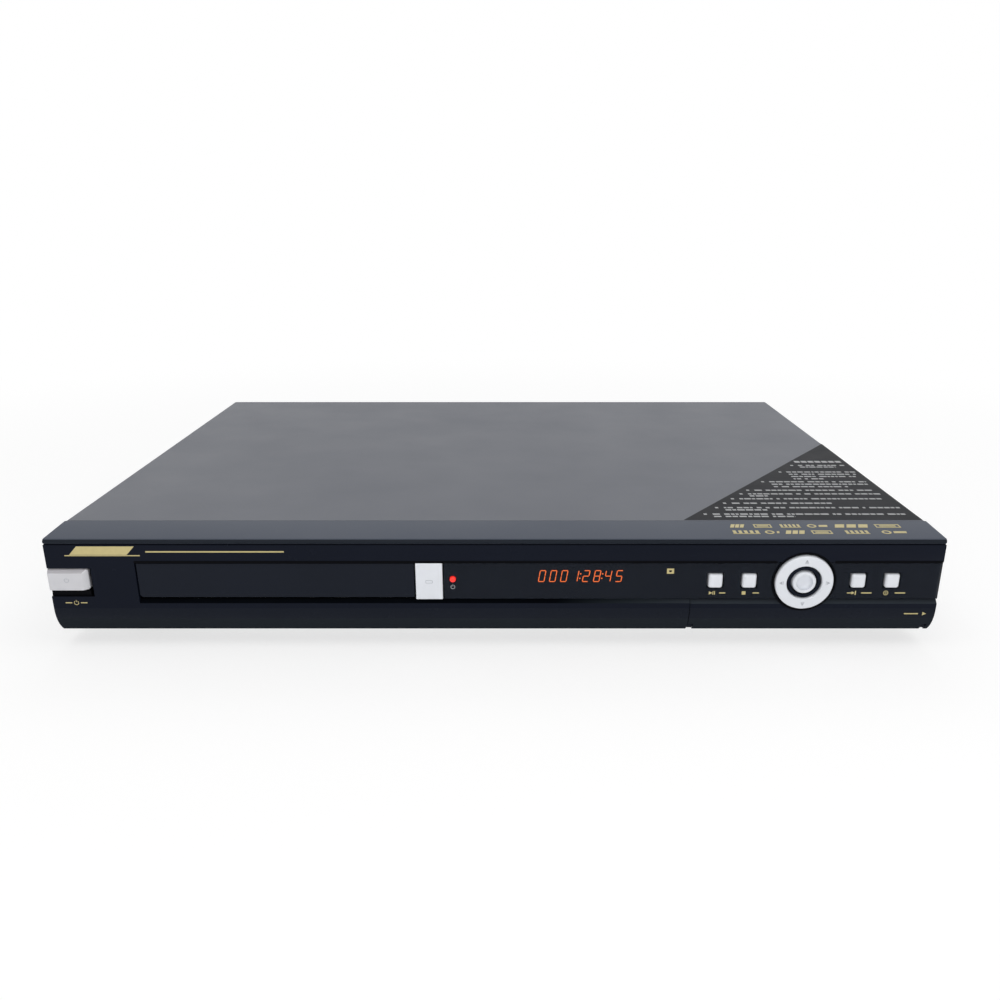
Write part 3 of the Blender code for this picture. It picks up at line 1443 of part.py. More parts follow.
def rack_shape():
    """The toothed bar under the tray's left arm, teeth towards +X, a gap centred on the pinion's axis."""
    pitch = math.pi * GEAR_MODULE
    line = rack_line()
    back = line - TOOTH_FALL - RACK_BODY
    start = FRONT_Y + PINION_DEPTH - pitch
    first = start - pitch / 2
    last = start + pitch * RACK_TEETH
    outline = [(back, last), (back, first)]
    for i in range(RACK_TEETH):
        centre = start + pitch * i + pitch / 2
        root, tip = tooth_half(TOOTH_ROOT_SHARE), tooth_half(TOOTH_TIP_SHARE)
        outline.append((line - TOOTH_FALL, centre - root))
        outline.append((line + TOOTH_RISE, centre - tip))
        outline.append((line + TOOTH_RISE, centre + tip))
        outline.append((line - TOOTH_FALL, centre + root))
    outline.append((line - TOOTH_FALL, last))
    outline.insert(2, (line - TOOTH_FALL, first))
    bm = new_shape()
    prism(bm, outline, "z", TRAY_BOTTOM - RACK_HEIGHT, TRAY_BOTTOM + GAP)
    return bm


def pinion_centre():
    pitch_radius = PINION_TEETH * GEAR_MODULE / 2
    return rack_line() + pitch_radius, FRONT_Y + PINION_DEPTH


def pinion_outline(centre):
    """Teeth placed so that one points along -X into a gap of the rack."""
    pitch_radius = PINION_TEETH * GEAR_MODULE / 2
    step = 2 * math.pi / PINION_TEETH
    outline = []
    for i in range(PINION_TEETH):
        middle = math.pi + i * step
        rows = (
            (pitch_radius - TOOTH_FALL, -TOOTH_ROOT_SHARE),
            (pitch_radius, -TOOTH_PITCH_SHARE),
            (pitch_radius + TOOTH_RISE, -TOOTH_TIP_SHARE),
            (pitch_radius + TOOTH_RISE, TOOTH_TIP_SHARE),
            (pitch_radius, TOOTH_PITCH_SHARE),
            (pitch_radius - TOOTH_FALL, TOOTH_ROOT_SHARE),
        )
        for radius, share in rows:
            angle = middle + share * step / 2
            outline.append((centre[0] + radius * math.cos(angle), centre[1] + radius * math.sin(angle)))
    return outline


def pulley_profile(radius, bottom):
    """A grooved rim from its bottom face to its top face."""
    edge = (PULLEY_HEIGHT - BELT_SIDE - GAP * 2) / 2
    groove = radius - PULLEY_GROOVE
    top = bottom + PULLEY_HEIGHT
    return [
        (radius, bottom),
        (radius, bottom + edge),
        (groove, bottom + edge),
        (groove, top - edge),
        (radius, top - edge),
        (radius, top),
    ]


def make_loading_gear():
    centre = pinion_centre()
    top = TRAY_BOTTOM - PINION_TOP_GAP
    bm = new_shape()
    prism(bm, pinion_outline(centre), "z", PINION_BOTTOM - GAP, top)
    gear = make("loading_gear", bm, "white_plastic", (centre[0], centre[1], PULLEY_BOTTOM))
    pulley = new_shape()
    waist = PINION_TEETH * GEAR_MODULE / 2 - TOOTH_FALL - TOOTH_RISE
    profile = [(0, PULLEY_BOTTOM)] + pulley_profile(PULLEY_RADIUS, PULLEY_BOTTOM)
    profile.append((waist, PULLEY_BOTTOM + PULLEY_HEIGHT))
    profile += [(waist, PINION_BOTTOM + GAP), (0, PINION_BOTTOM + GAP)]
    turned(pulley, profile, centre)
    join(gear, pulley, "pulley")
    bore = new_shape()
    rod(bore, "z", centre, SHAFT_PIN_RADIUS + RUN_GAP, PULLEY_BOTTOM - OVERRUN, top + OVERRUN, SMALL_ROUND)
    cut(gear, bore, "bore")


def load_motor_centre():
    return pinion_centre()[0], FRONT_Y + LOAD_MOTOR_DEPTH


def make_loading_motor():
    centre = load_motor_centre()
    floor = DRIVE_BOTTOM + DRIVE_FLOOR + GAP
    top = PULLEY_BOTTOM - GAP
    shaft = PULLEY_BOTTOM + PULLEY_HEIGHT
    profile = [
        (0, floor),
        (LOAD_MOTOR_RADIUS, floor),
        (LOAD_MOTOR_RADIUS, top),
        (LOAD_MOTOR_SHAFT, top),
        (LOAD_MOTOR_SHAFT, shaft),
        (0, shaft),
    ]
    bm = new_shape()
    turned(bm, profile, centre)
    make("loading_motor", bm, "steel", (centre[0], centre[1], floor), smooth=True)


def make_motor_pulley():
    centre = load_motor_centre()
    bore = LOAD_MOTOR_SHAFT + RUN_GAP
    rim = pulley_profile(MOTOR_PULLEY_RADIUS, PULLEY_BOTTOM)
    profile = [(bore, PULLEY_BOTTOM)] + rim + [(bore, PULLEY_BOTTOM + PULLEY_HEIGHT)]
    bm = new_shape()
    turned(bm, profile, centre, SMALL_ROUND, closed=True)
    make("motor_pulley", bm, "white_plastic", (centre[0], centre[1], PULLEY_BOTTOM), smooth=True)


def belt_loop(first, second, near, far, steps=12):
    """Outline round two circles of radii near and far, centres one behind the other along Y."""
    reach = second[1] - first[1]
    slant = math.asin((near - far) / reach)
    points = []
    for i in range(steps + 1):
        angle = math.pi - slant + (math.pi + 2 * slant) * i / steps
        points.append((first[0] + near * math.cos(angle), first[1] + near * math.sin(angle)))
    for i in range(steps + 1):
        angle = slant + (math.pi - 2 * slant) * i / steps
        points.append((second[0] + far * math.cos(angle), second[1] + far * math.sin(angle)))
    return points


def make_loading_belt():
    first = pinion_centre()
    second = load_motor_centre()
    middle = PULLEY_BOTTOM + PULLEY_HEIGHT / 2
    level = (middle - BELT_SIDE / 2, middle + BELT_SIDE / 2)
    clear = GAP
    near = PULLEY_RADIUS - PULLEY_GROOVE + clear
    far = MOTOR_PULLEY_RADIUS - PULLEY_GROOVE + clear
    outer = belt_loop(first, second, near + BELT_SIDE, far + BELT_SIDE)
    inner = belt_loop(first, second, near, far)
    bm = new_shape()
    rings = []
    for outline in (outer, inner):
        for height in level:
            rings.append([bm.verts.new((x, y, height)) for x, y in outline])
    outer_low, outer_high, inner_low, inner_high = rings
    count = len(outer)
    for i in range(count):
        j = (i + 1) % count
        bm.faces.new((outer_low[i], outer_low[j], outer_high[j], outer_high[i]))
        bm.faces.new((inner_low[i], inner_high[i], inner_high[j], inner_low[j]))
        bm.faces.new((outer_high[i], outer_high[j], inner_high[j], inner_high[i]))
        bm.faces.new((outer_low[i], inner_low[i], inner_low[j], outer_low[j]))
    make("loading_belt", bm, "rubber")


# Disc drive


def make_drive_chassis():
    outer = DRIVE_WIDTH / 2
    slide = TRAY_WIDTH / 2 + GUIDE_SIDE_GAP
    inner = outer - DRIVE_WALL
    under = TRAY_WIDTH / 2 - GUIDE_UNDER
    over = TRAY_WIDTH / 2 - GUIDE_OVER
    tray_top = TRAY_BOTTOM + TRAY_THICKNESS
    floor = DRIVE_BOTTOM + DRIVE_FLOOR
    right = [
        (outer, DRIVE_BOTTOM),
        (outer, DRIVE_TOP),
        (inner, DRIVE_TOP),
        (inner, tray_top + GUIDE_GAP + GUIDE_LIP),
        (over, tray_top + GUIDE_GAP + GUIDE_LIP),
        (over, tray_top + GUIDE_GAP),
        (slide, tray_top + GUIDE_GAP),
        (slide, TRAY_BOTTOM - GUIDE_GAP),
        (under, TRAY_BOTTOM - GUIDE_GAP),
        (under, TRAY_BOTTOM - GUIDE_GAP - GUIDE_LIP),
        (inner, TRAY_BOTTOM - GUIDE_GAP - GUIDE_LIP),
        (inner, floor),
    ]
    left = [(-x, z) for x, z in reversed(right)]
    outline = [(DRIVE_X + x, z) for x, z in right + left]
    bm = new_shape()
    prism(bm, outline, "y", FRONT_Y + DRIVE_FRONT, FRONT_Y + DRIVE_REAR)
    chassis = make("drive_chassis", bm, "dark_plastic")
    ribs = new_shape()
    length = CAM_LENGTH + CAM_TRAVEL
    start = DRIVE_X - CAM_LENGTH / 2
    for depth in (CAM_DEPTH - GAP - CAM_RIB, CAM_DEPTH + CAM_THICKNESS + GAP):
        levels = (floor - GAP, floor + CAM_RIB_HEIGHT)
        case_box(ribs, (start, start + length), (depth, depth + CAM_RIB), levels)
    join(chassis, ribs, "cam_ribs")
    pin = new_shape()
    rod(pin, "z", pinion_centre(), SHAFT_PIN_RADIUS, floor - GAP, TRAY_BOTTOM - PINION_TOP_GAP, SMALL_ROUND)
    join(chassis, pin, "gear_pin")
    collar = new_shape()
    rod(collar, "z", pinion_centre(), SHAFT_PIN_RADIUS * 2, floor - GAP, PULLEY_BOTTOM - GAP, SMALL_ROUND)
    join(chassis, collar, "gear_collar")
    ears = new_shape()
    for side in (-1, 1):
        near = BASE_WIDTH / 2 + RUN_GAP * 2
        ends = sorted((DRIVE_X + side * near, DRIVE_X + side * (near + EAR_THICKNESS)))
        half = EAR_WIDTH / 2
        case_box(ears, ends, (PIVOT_DEPTH - half, PIVOT_DEPTH + half), (floor - GAP, pivot_level() + half))
    join(chassis, ears, "ears")
    holes = new_shape()
    for side in (-1, 1):
        near = BASE_WIDTH / 2
        far = near + EAR_THICKNESS + OVERRUN / 2
        ends = sorted((DRIVE_X + side * (near - RUN_GAP), DRIVE_X + side * far))
        place = (FRONT_Y + PIVOT_DEPTH, pivot_level())
        rod(holes, "x", place, PIVOT_RADIUS + RUN_GAP, ends[0], ends[1], SMALL_ROUND)
    cut(chassis, holes, "ear_holes")


def pivot_level():
    return BASE_BOTTOM + BASE_THICKNESS / 2


def make_clamp_bridge():
    bottom = DRIVE_TOP + GAP
    half = DRIVE_WIDTH / 2
    depth = (SPINDLE_DEPTH - BRIDGE_WIDTH / 2, SPINDLE_DEPTH + BRIDGE_WIDTH / 2)
    bm = new_shape()
    case_box(bm, (DRIVE_X - half, DRIVE_X + half), depth, (bottom, bottom + BRIDGE_THICKNESS))
    bridge = make("clamp_bridge", bm, "steel")
    hole = new_shape()
    centre = (DRIVE_X, FRONT_Y + SPINDLE_DEPTH)
    rod(hole, "z", centre, BRIDGE_HOLE, bottom - OVERRUN, bottom + OVERRUN, ROUND)
    cut(bridge, hole, "hole")


def hub_top():
    return base_top() + GAP + SPINDLE_MOTOR_HEIGHT + GAP + TURNTABLE_THICKNESS + HUB_HEIGHT


def base_top():
    return BASE_BOTTOM + BASE_THICKNESS


def make_clamp_puck():
    bottom = hub_top() + GAP
    seat = DRIVE_TOP + GAP + BRIDGE_THICKNESS + GAP
    top = seat + PUCK_FLANGE_THICKNESS
    profile = [
        (0, bottom),
        (PUCK_BOSS - HUB_TAPER, bottom),
        (PUCK_BOSS, bottom + HUB_TAPER),
        (PUCK_BOSS, seat),
        (PUCK_FLANGE, seat),
        (PUCK_FLANGE, top - HUB_TAPER),
        (PUCK_FLANGE - HUB_TAPER, top),
        (0, top),
    ]
    centre = (DRIVE_X, FRONT_Y + SPINDLE_DEPTH)
    bm = new_shape()
    turned(bm, profile, centre)
    make("clamp_puck", bm, "white_plastic", (centre[0], centre[1], bottom), smooth=True)


def make_traverse_base():
    half = BASE_WIDTH / 2
    pivot = (DRIVE_X, FRONT_Y + PIVOT_DEPTH, pivot_level())
    bm = new_shape()
    case_box(bm, (DRIVE_X - half, DRIVE_X + half), (BASE_FRONT, BASE_REAR), (BASE_BOTTOM, base_top()))
    base = make("traverse_base", bm, "dark_plastic", pivot)
    opening = new_shape()
    side = BASE_OPENING_WIDTH / 2
    depth = (BASE_OPENING_FRONT, BASE_OPENING_REAR)
    case_box(opening, (DRIVE_X - side, DRIVE_X + side), depth, (BASE_BOTTOM - OVERRUN, base_top() + OVERRUN))
    cut(base, opening, "opening")
    pins = new_shape()
    for sign in (-1, 1):
        near = half - PIVOT_RADIUS
        ends = sorted((DRIVE_X + sign * near, DRIVE_X + sign * (half + PIVOT_LENGTH - RUN_GAP)))
        rod(pins, "x", (pivot[1], pivot[2]), PIVOT_RADIUS, ends[0], ends[1])
    join(base, pins, "pivot_pins")
    cam_pin = new_shape()
    reach = FRONT_Y + CAM_DEPTH - CAM_PIN_REACH
    rod(cam_pin, "y", (DRIVE_X, pivot[2]), CAM_PIN_RADIUS, reach, FRONT_Y + BASE_FRONT + CAM_PIN_RADIUS)
    join(base, cam_pin, "cam_pin")
    bores = new_shape()
    for place in (rod_place(), screw_place()):
        start = FRONT_Y + BASE_OPENING_FRONT - ROD_END
        end = FRONT_Y + BASE_OPENING_REAR + ROD_END
        rod(bores, "y", place, ROD_RADIUS + RUN_GAP * 2, start, end)
    cut(base, bores, "bores")


def rod_place():
    return DRIVE_X - BASE_OPENING_WIDTH / 2 + ROD_INSET, pivot_level()


def screw_place():
    return DRIVE_X + BASE_OPENING_WIDTH / 2 - ROD_INSET, pivot_level()


def make_spindle_motor():
    bottom = base_top() + GAP
    centre = (DRIVE_X, FRONT_Y + SPINDLE_DEPTH)
    bm = new_shape()
    top = bottom + SPINDLE_MOTOR_HEIGHT
    profile = [(0, bottom), (SPINDLE_MOTOR_RADIUS, bottom), (SPINDLE_MOTOR_RADIUS, top), (0, top)]
    turned(bm, profile, centre)
    make("spindle_motor", bm, "steel", (centre[0], centre[1], bottom), smooth=True)


def make_turntable():
    bottom = base_top() + GAP + SPINDLE_MOTOR_HEIGHT + GAP
    plate = bottom + TURNTABLE_THICKNESS
    top = hub_top()
    centre = (DRIVE_X, FRONT_Y + SPINDLE_DEPTH)
    profile = [
        (0, bottom),
        (TURNTABLE_RADIUS, bottom),
        (TURNTABLE_RADIUS, plate),
        (HUB_RADIUS, plate),
        (HUB_RADIUS, top - HUB_TAPER),
        (HUB_RADIUS - HUB_TAPER, top),
        (0, top),
    ]
    bm = new_shape()
    turned(bm, profile, centre)
    make("turntable", bm, "dark_plastic", (centre[0], centre[1], bottom), smooth=True)


def sled_front_depth():
    return BASE_OPENING_FRONT + SLED_START_GAP + SLED_BLOCK_INSET


def make_pickup_sled():
    """The carriage over the opening, with bearing blocks round the rod and the screw."""
    start = sled_front_depth()
    bottom = base_top() + SLED_BOTTOM_RISE
    top = bottom + SLED_THICKNESS
    half = SLED_WIDTH / 2
    bm = new_shape()
    case_box(bm, (DRIVE_X - half, DRIVE_X + half), (start, start + SLED_LENGTH), (bottom, top))
    sled = make("pickup_sled", bm, "grey_plastic", (DRIVE_X, FRONT_Y + start, bottom))
    blocks = new_shape()
    margin = (SLED_LENGTH - SLED_BLOCK_LENGTH) / 2
    for place in (rod_place(), screw_place()):
        x = (place[0] - SLED_BLOCK_WIDTH / 2, place[0] + SLED_BLOCK_WIDTH / 2)
        depth = (start + margin, start + margin + SLED_BLOCK_LENGTH)
        case_box(blocks, x, depth, (place[1] - SLED_BLOCK_WIDTH / 2, bottom + GAP))
    join(sled, blocks, "blocks")
    bores = new_shape()
    ends = (FRONT_Y + start - OVERRUN, FRONT_Y + start + SLED_LENGTH + OVERRUN)
    rod(bores, "y", rod_place(), ROD_RADIUS + RUN_GAP, ends[0], ends[1])
    clear = SCREW_RADIUS + SCREW_RIDGE + RUN_GAP
    rod(bores, "y", screw_place(), clear, FRONT_Y + start - OVERRUN, FRONT_Y + start + SLED_LENGTH + OVERRUN)
    cut(sled, bores, "bores")
    lens = new_shape()
    rod(lens, "z", (DRIVE_X, FRONT_Y + start + SLED_LENGTH / 2), LENS_RADIUS, top - GAP, top + LENS_HEIGHT)
    join(sled, lens, "lens")


def make_guide_rod():
    place = rod_place()
    start = FRONT_Y + BASE_OPENING_FRONT - ROD_END + GAP
    end = FRONT_Y + BASE_OPENING_REAR + ROD_END - GAP
    bm = new_shape()
    rod(bm, "y", place, ROD_RADIUS, start, end)
    make("guide_rod", bm, "steel", smooth=True)


def make_lead_screw():
    """A screw with ridges between two plain journals."""
    place = screw_place()
    start = FRONT_Y + BASE_OPENING_FRONT - ROD_END + GAP
    end = FRONT_Y + BASE_OPENING_REAR + ROD_END - GAP
    first = FRONT_Y + BASE_OPENING_FRONT + ROD_END / 2
    last = FRONT_Y + BASE_OPENING_REAR - ROD_END / 2
    profile = [(0, start), (ROD_RADIUS, start), (ROD_RADIUS, first)]
    pitch = (last - first) / SCREW_RIDGES
    for i in range(SCREW_RIDGES):
        base = first + pitch * i
        profile.append((SCREW_RADIUS, base + pitch / 4))
        profile.append((SCREW_RADIUS + SCREW_RIDGE, base + pitch / 2))
        profile.append((SCREW_RADIUS, base + pitch * 3 / 4))
    profile += [(ROD_RADIUS, last), (ROD_RADIUS, end), (0, end)]
    bm = new_shape()
    turned(bm, profile, (0, 0), SMALL_ROUND)
    turn = Matrix.Rotation(math.radians(-90), 4, "X")
    move(bm, Matrix.Translation((place[0], 0, place[1])) @ turn)
    make("lead_screw", bm, "steel", (place[0], start, place[1]), smooth=True)


def make_sled_motor():
    """A small motor hung under the rear end of the lead screw."""
    place = screw_place()
    start = FRONT_Y + BASE_REAR + GAP
    bm = new_shape()
    rod(bm, "y", place, SLED_MOTOR_RADIUS, start, start + SLED_MOTOR_LENGTH, ROUND)
    make("sled_motor", bm, "steel", smooth=True)


def make_cam_slider():
    half = CAM_LENGTH / 2
    floor = DRIVE_BOTTOM + DRIVE_FLOOR + GAP
    depth = (CAM_DEPTH, CAM_DEPTH + CAM_THICKNESS)
    bm = new_shape()
    case_box(bm, (DRIVE_X - half, DRIVE_X + half), depth, (floor, CAM_TOP))
    slider = make("cam_slider", bm, "white_plastic", (DRIVE_X, FRONT_Y + CAM_DEPTH, floor))
    fall = (PIVOT_DEPTH - CAM_DEPTH - CAM_THICKNESS / 2) * math.sin(BASE_TILT)
    start = Vector((DRIVE_X, pivot_level()))
    end = start + Vector((-CAM_TRAVEL, -fall))
    along = (end - start).normalized()
    heading = math.atan2(along.y, along.x)
    outline = []
    for centre, turn in ((end, -90), (start, 90)):
        for i in range(7):
            angle = heading + math.radians(turn + 30 * i)
            across = CAM_SLOT_RADIUS * math.cos(angle)
            outline.append((centre.x + across, centre.y + CAM_SLOT_RADIUS * math.sin(angle)))
    slot = new_shape()
    front = FRONT_Y + CAM_DEPTH
    prism(slot, outline, "y", front - OVERRUN, front + CAM_THICKNESS + OVERRUN)
    cut(slider, slot, "slot")


# Hard disk


def disk_range_x(inset=0):
    half = DISK_WIDTH / 2 - inset
    return DISK_X - half, DISK_X + half


def disk_case_top():
    return DISK_CASE_BOTTOM + DISK_CASE_HEIGHT


def make_disk_bracket():
    half = DISK_WIDTH / 2 + GAP
    outer = half + BRACKET_SHEET
    bottom = BRACKET_BOTTOM
    floor = bottom + BRACKET_SHEET
    top = bottom + BRACKET_SIDE
    outline = [
        (DISK_X - outer, bottom), (DISK_X + outer, bottom), (DISK_X + outer, top), (DISK_X + half, top),
        (DISK_X + half, floor), (DISK_X - half, floor), (DISK_X - half, top), (DISK_X - outer, top),
    ]
    bm = new_shape()
    prism(bm, outline, "y", FRONT_Y + DISK_FRONT, FRONT_Y + DISK_FRONT + DISK_LENGTH)
    bracket = make("disk_bracket", bm, "steel")
    legs = new_shape()
    for side in (-1, 1):
        for start in (DISK_FRONT + BRACKET_LEG, DISK_FRONT + DISK_LENGTH - BRACKET_LEG * 2):
            x = DISK_X + side * (half - BRACKET_LEG)
            half_leg = BRACKET_LEG / 2
            levels = (PAN_TOP + GAP, bottom + GAP)
            case_box(legs, (x - half_leg, x + half_leg), (start, start + BRACKET_LEG), levels)
    join(bracket, legs, "legs")


def make_disk_board():
    x = disk_range_x(DISK_BOARD_INSET)
    rear = DISK_FRONT + DISK_LENGTH - DISK_BOARD_INSET
    bm = new_shape()
    levels = (DISK_BOARD_BOTTOM, DISK_BOARD_BOTTOM + BOARD_THICKNESS)
    case_box(bm, x, (rear - DISK_BOARD_LENGTH, rear), levels)
    make("disk_board", bm, "green_board")


def make_disk_case():
    bm = new_shape()
    depth = (DISK_FRONT, DISK_FRONT + DISK_LENGTH)
    case_box(bm, disk_range_x(), depth, (DISK_CASE_BOTTOM, disk_case_top()))
    case = make("disk_case", bm, "aluminium")
    hollow = new_shape()
    depth = (DISK_FRONT + DISK_WALL, DISK_FRONT + DISK_LENGTH - DISK_WALL * 4)
    levels = (DISK_CASE_BOTTOM + DISK_FLOOR, disk_case_top() + OVERRUN)
    case_box(hollow, disk_range_x(DISK_WALL), depth, levels)
    cut(case, hollow, "hollow")


def make_disk_cover():
    bottom = disk_case_top() + GAP
    depth = (DISK_FRONT + DISK_WALL / 2, DISK_FRONT + DISK_LENGTH - DISK_WALL / 2)
    bm = new_shape()
    case_box(bm, disk_range_x(DISK_WALL / 2), depth, (bottom, bottom + DISK_COVER_THICKNESS))
    cover = make("disk_cover", bm, "steel")
    dent = new_shape()
    centre = platter_centre()
    top = bottom + DISK_COVER_THICKNESS
    rod(dent, "z", centre, PLATTER_RADIUS - DISK_WALL, top - DISK_COVER_THICKNESS / 4, top + OVERRUN, ROUND)
    cut(cover, dent, "dent")


def platter_centre():
    return DISK_X, FRONT_Y + DISK_FRONT + PLATTER_CENTRE_DEPTH


def platter_level():
    return DISK_CASE_BOTTOM + DISK_FLOOR + PLATTER_RISE


def make_disk_platter():
    floor = DISK_CASE_BOTTOM + DISK_FLOOR + GAP
    level = platter_level()
    clamp = level + PLATTER_THICKNESS + PLATTER_CLAMP_HEIGHT
    profile = [
        (0, floor),
        (PLATTER_HUB_RADIUS, floor),
        (PLATTER_HUB_RADIUS, level),
        (PLATTER_RADIUS, level),
        (PLATTER_RADIUS, level + PLATTER_THICKNESS),
        (PLATTER_HUB_RADIUS, level + PLATTER_THICKNESS),
        (PLATTER_HUB_RADIUS, clamp),
        (0, clamp),
    ]
    centre = platter_centre()
    bm = new_shape()
    turned(bm, profile, centre, FINE_ROUND)
    make("disk_platter", bm, "steel", (centre[0], centre[1], floor), smooth=True)


def arm_pivot():
    centre = platter_centre()
    return centre[0] + ARM_PIVOT_SIDE, centre[1] + ARM_PIVOT_BEHIND


def arm_angle(radius):
    """Angle at the pivot between the spindle and a head standing at a radius of the platter."""
    spacing = math.hypot(ARM_PIVOT_SIDE, ARM_PIVOT_BEHIND)
    return math.acos((spacing**2 + ARM_LENGTH**2 - radius**2) / (2 * spacing * ARM_LENGTH))


def make_head_arm():
    pivot = arm_pivot()
    centre = platter_centre()
    to_spindle = math.atan2(centre[1] - pivot[1], centre[0] - pivot[0])
    heading = to_spindle + arm_angle(ARM_PARK_RADIUS)
    low = platter_level() + PLATTER_THICKNESS + ARM_RISE
    outline = [
        (ARM_LENGTH, -ARM_TIP_WIDTH / 2),
        (ARM_LENGTH, ARM_TIP_WIDTH / 2),
        (0, ARM_ROOT_WIDTH / 2),
        (-ARM_TAIL, ARM_TAIL_WIDTH / 2),
        (-ARM_TAIL, -ARM_TAIL_WIDTH / 2),
        (0, -ARM_ROOT_WIDTH / 2),
    ]
    bm = new_shape()
    prism(bm, outline, "z", low, low + ARM_THICKNESS)
    move(bm, Matrix.Translation((pivot[0], pivot[1], 0)) @ Matrix.Rotation(heading, 4, "Z"))
    floor = DISK_CASE_BOTTOM + DISK_FLOOR + GAP
    arm = make("head_arm", bm, "aluminium", (pivot[0], pivot[1], floor))
    post = new_shape()
    rod(post, "z", pivot, ARM_PIVOT_RADIUS, floor, low + ARM_THICKNESS * 2)
    join(arm, post, "post")


# Boards and power supply


def post_places(left, width, front, length):
    inset = BOARD_POST_INSET
    return [
        (left + side, FRONT_Y + front + along)
        for side in (inset, width - inset)
        for along in (inset, length - inset)
    ]


def make_board(name, left, width, front, length):
    bm = new_shape()
    case_box(bm, (left, left + width), (front, front + length), (BOARD_LEVEL, BOARD_LEVEL + BOARD_THICKNESS))
    return make(name, bm, "green_board")


def make_power_board():
    board = make_board("power_board", POWER_LEFT, POWER_WIDTH, POWER_FRONT, POWER_LENGTH)
    board_top = BOARD_LEVEL + BOARD_THICKNESS
    low = board_top - GAP
    front = FRONT_Y + SINK_DEPTH
    outline = [(SINK_X, front), (SINK_X + SINK_SHEET, front)]
    pitch = SINK_LENGTH / SINK_FINS
    for i in range(SINK_FINS):
        start = front + pitch * i + pitch / 4
        outline.append((SINK_X + SINK_SHEET, start))
        outline.append((SINK_X + SINK_FIN, start))
        outline.append((SINK_X + SINK_FIN, start + SINK_SHEET))
        outline.append((SINK_X + SINK_SHEET, start + SINK_SHEET))
    outline.append((SINK_X + SINK_SHEET, front + SINK_LENGTH))
    outline.append((SINK_X, front + SINK_LENGTH))
    sink = new_shape()
    prism(sink, outline, "z", low, board_top + SINK_HEIGHT)
    join(board, sink, "heat_sink")


def make_transformer():
    centre = (TRANSFORMER_X, FRONT_Y + TRANSFORMER_DEPTH)
    bottom = COMPONENT_LEVEL
    height = TRANSFORMER_HEIGHT - CORE_MARGIN
    bm = new_shape()
    middle = bottom + height / 2
    size = (TRANSFORMER_WIDTH - CORE_THICKNESS, TRANSFORMER_LENGTH, height)
    centred_box(bm, (centre[0], centre[1], middle), size)
    transformer = make("transformer", bm, "copper")
    core = new_shape()
    size = (TRANSFORMER_WIDTH, CORE_THICKNESS, TRANSFORMER_HEIGHT)
    centred_box(core, (centre[0], centre[1], bottom + CORE_MARGIN / 2 + TRANSFORMER_HEIGHT / 2), size)
    join(transformer, core, "core")


def make_capacitor():
    bottom = COMPONENT_LEVEL
    top = bottom + CAPACITOR_HEIGHT
    dimple = CAPACITOR_DIMPLE
    profile = [
        (0, bottom),
        (CAPACITOR_RADIUS, bottom),
        (CAPACITOR_RADIUS, top - dimple),
        (CAPACITOR_RADIUS - dimple, top),
        (CAPACITOR_RADIUS - dimple * 3, top - dimple),
        (0, top - dimple),
    ]
    bm = new_shape()
    turned(bm, profile, (CAPACITOR_X, FRONT_Y + CAPACITOR_DEPTH))
    make("filter_capacitor", bm, "dark_plastic", smooth=True)


def make_main_board():
    board = make_board("main_board", MAIN_LEFT, MAIN_WIDTH, MAIN_FRONT, MAIN_LENGTH)
    top = BOARD_LEVEL + BOARD_THICKNESS
    chips = new_shape()
    for across, along, side in CHIP_SHARES:
        width = side * MAIN_WIDTH
        place = (MAIN_LEFT + MAIN_WIDTH * across, FRONT_Y + MAIN_FRONT + MAIN_LENGTH * along)
        centre = (place[0], place[1], top + CHIP_HEIGHT / 2 - GAP)
        centred_box(chips, centre, (width, width, CHIP_HEIGHT))
    join(board, chips, "chips")
    header = new_shape()
    place = cable_board_end()
    half = CONNECTOR_WIDTH / 2
    levels = (top - GAP, top + CONNECTOR_HEIGHT / 2)
    case_box(header, (DISK_X - half, DISK_X + half), (place, place + CONNECTOR_LENGTH), levels)
    join(board, header, "header")


def cable_board_end():
    return MAIN_FRONT + CONNECTOR_LENGTH / 2


def make_drive_cable():
    """The flat cable from the hard disk's rear up and over to the main board's header."""
    disk_rear = DISK_FRONT + DISK_LENGTH
    level = DISK_CASE_BOTTOM + CONNECTOR_HEIGHT / 2
    board_top = BOARD_LEVEL + BOARD_THICKNESS + CONNECTOR_HEIGHT / 2 + GAP
    half = CONNECTOR_WIDTH / 2
    x = (DISK_X - half, DISK_X + half)
    place = cable_board_end()
    plug_end = disk_rear + GAP + CONNECTOR_LENGTH
    bm = new_shape()
    case_box(bm, x, (disk_rear + GAP, plug_end), (level - CONNECTOR_HEIGHT / 2, level + CONNECTOR_HEIGHT / 2))
    cable = make("drive_cable", bm, "grey_plastic")
    far_plug = new_shape()
    plug_top = board_top + CONNECTOR_HEIGHT / 2
    case_box(far_plug, x, (place, place + CONNECTOR_LENGTH), (board_top, plug_top))
    join(cable, far_plug, "far_plug")
    start = Vector((plug_end - CABLE_THICKNESS, level))
    end = Vector((place + CONNECTOR_LENGTH / 2, plug_top - CABLE_THICKNESS))
    bends = (start, start + Vector((CABLE_ARCH, 0)), end + Vector((0, CABLE_ARCH * 2)), end)
    upper, lower = [], []
    for i in range(CABLE_STEPS + 1):
        t = i / CABLE_STEPS
        u = 1 - t
        point = bends[0] * u**3 + bends[1] * 3 * t * u**2 + bends[2] * 3 * t**2 * u + bends[3] * t**3
        slope = (bends[1] - bends[0]) * u**2
        slope += (bends[2] - bends[1]) * 2 * t * u + (bends[3] - bends[2]) * t**2
        normal = Vector((-slope.y, slope.x)).normalized() * CABLE_THICKNESS / 2
        upper.append(point + normal)
        lower.append(point - normal)
    outline = [(FRONT_Y + p.x, p.y) for p in upper + list(reversed(lower))]
    band = new_shape()
    prism(band, outline, "x", DISK_X - CABLE_WIDTH / 2, DISK_X + CABLE_WIDTH / 2)
    join(cable, band, "band")


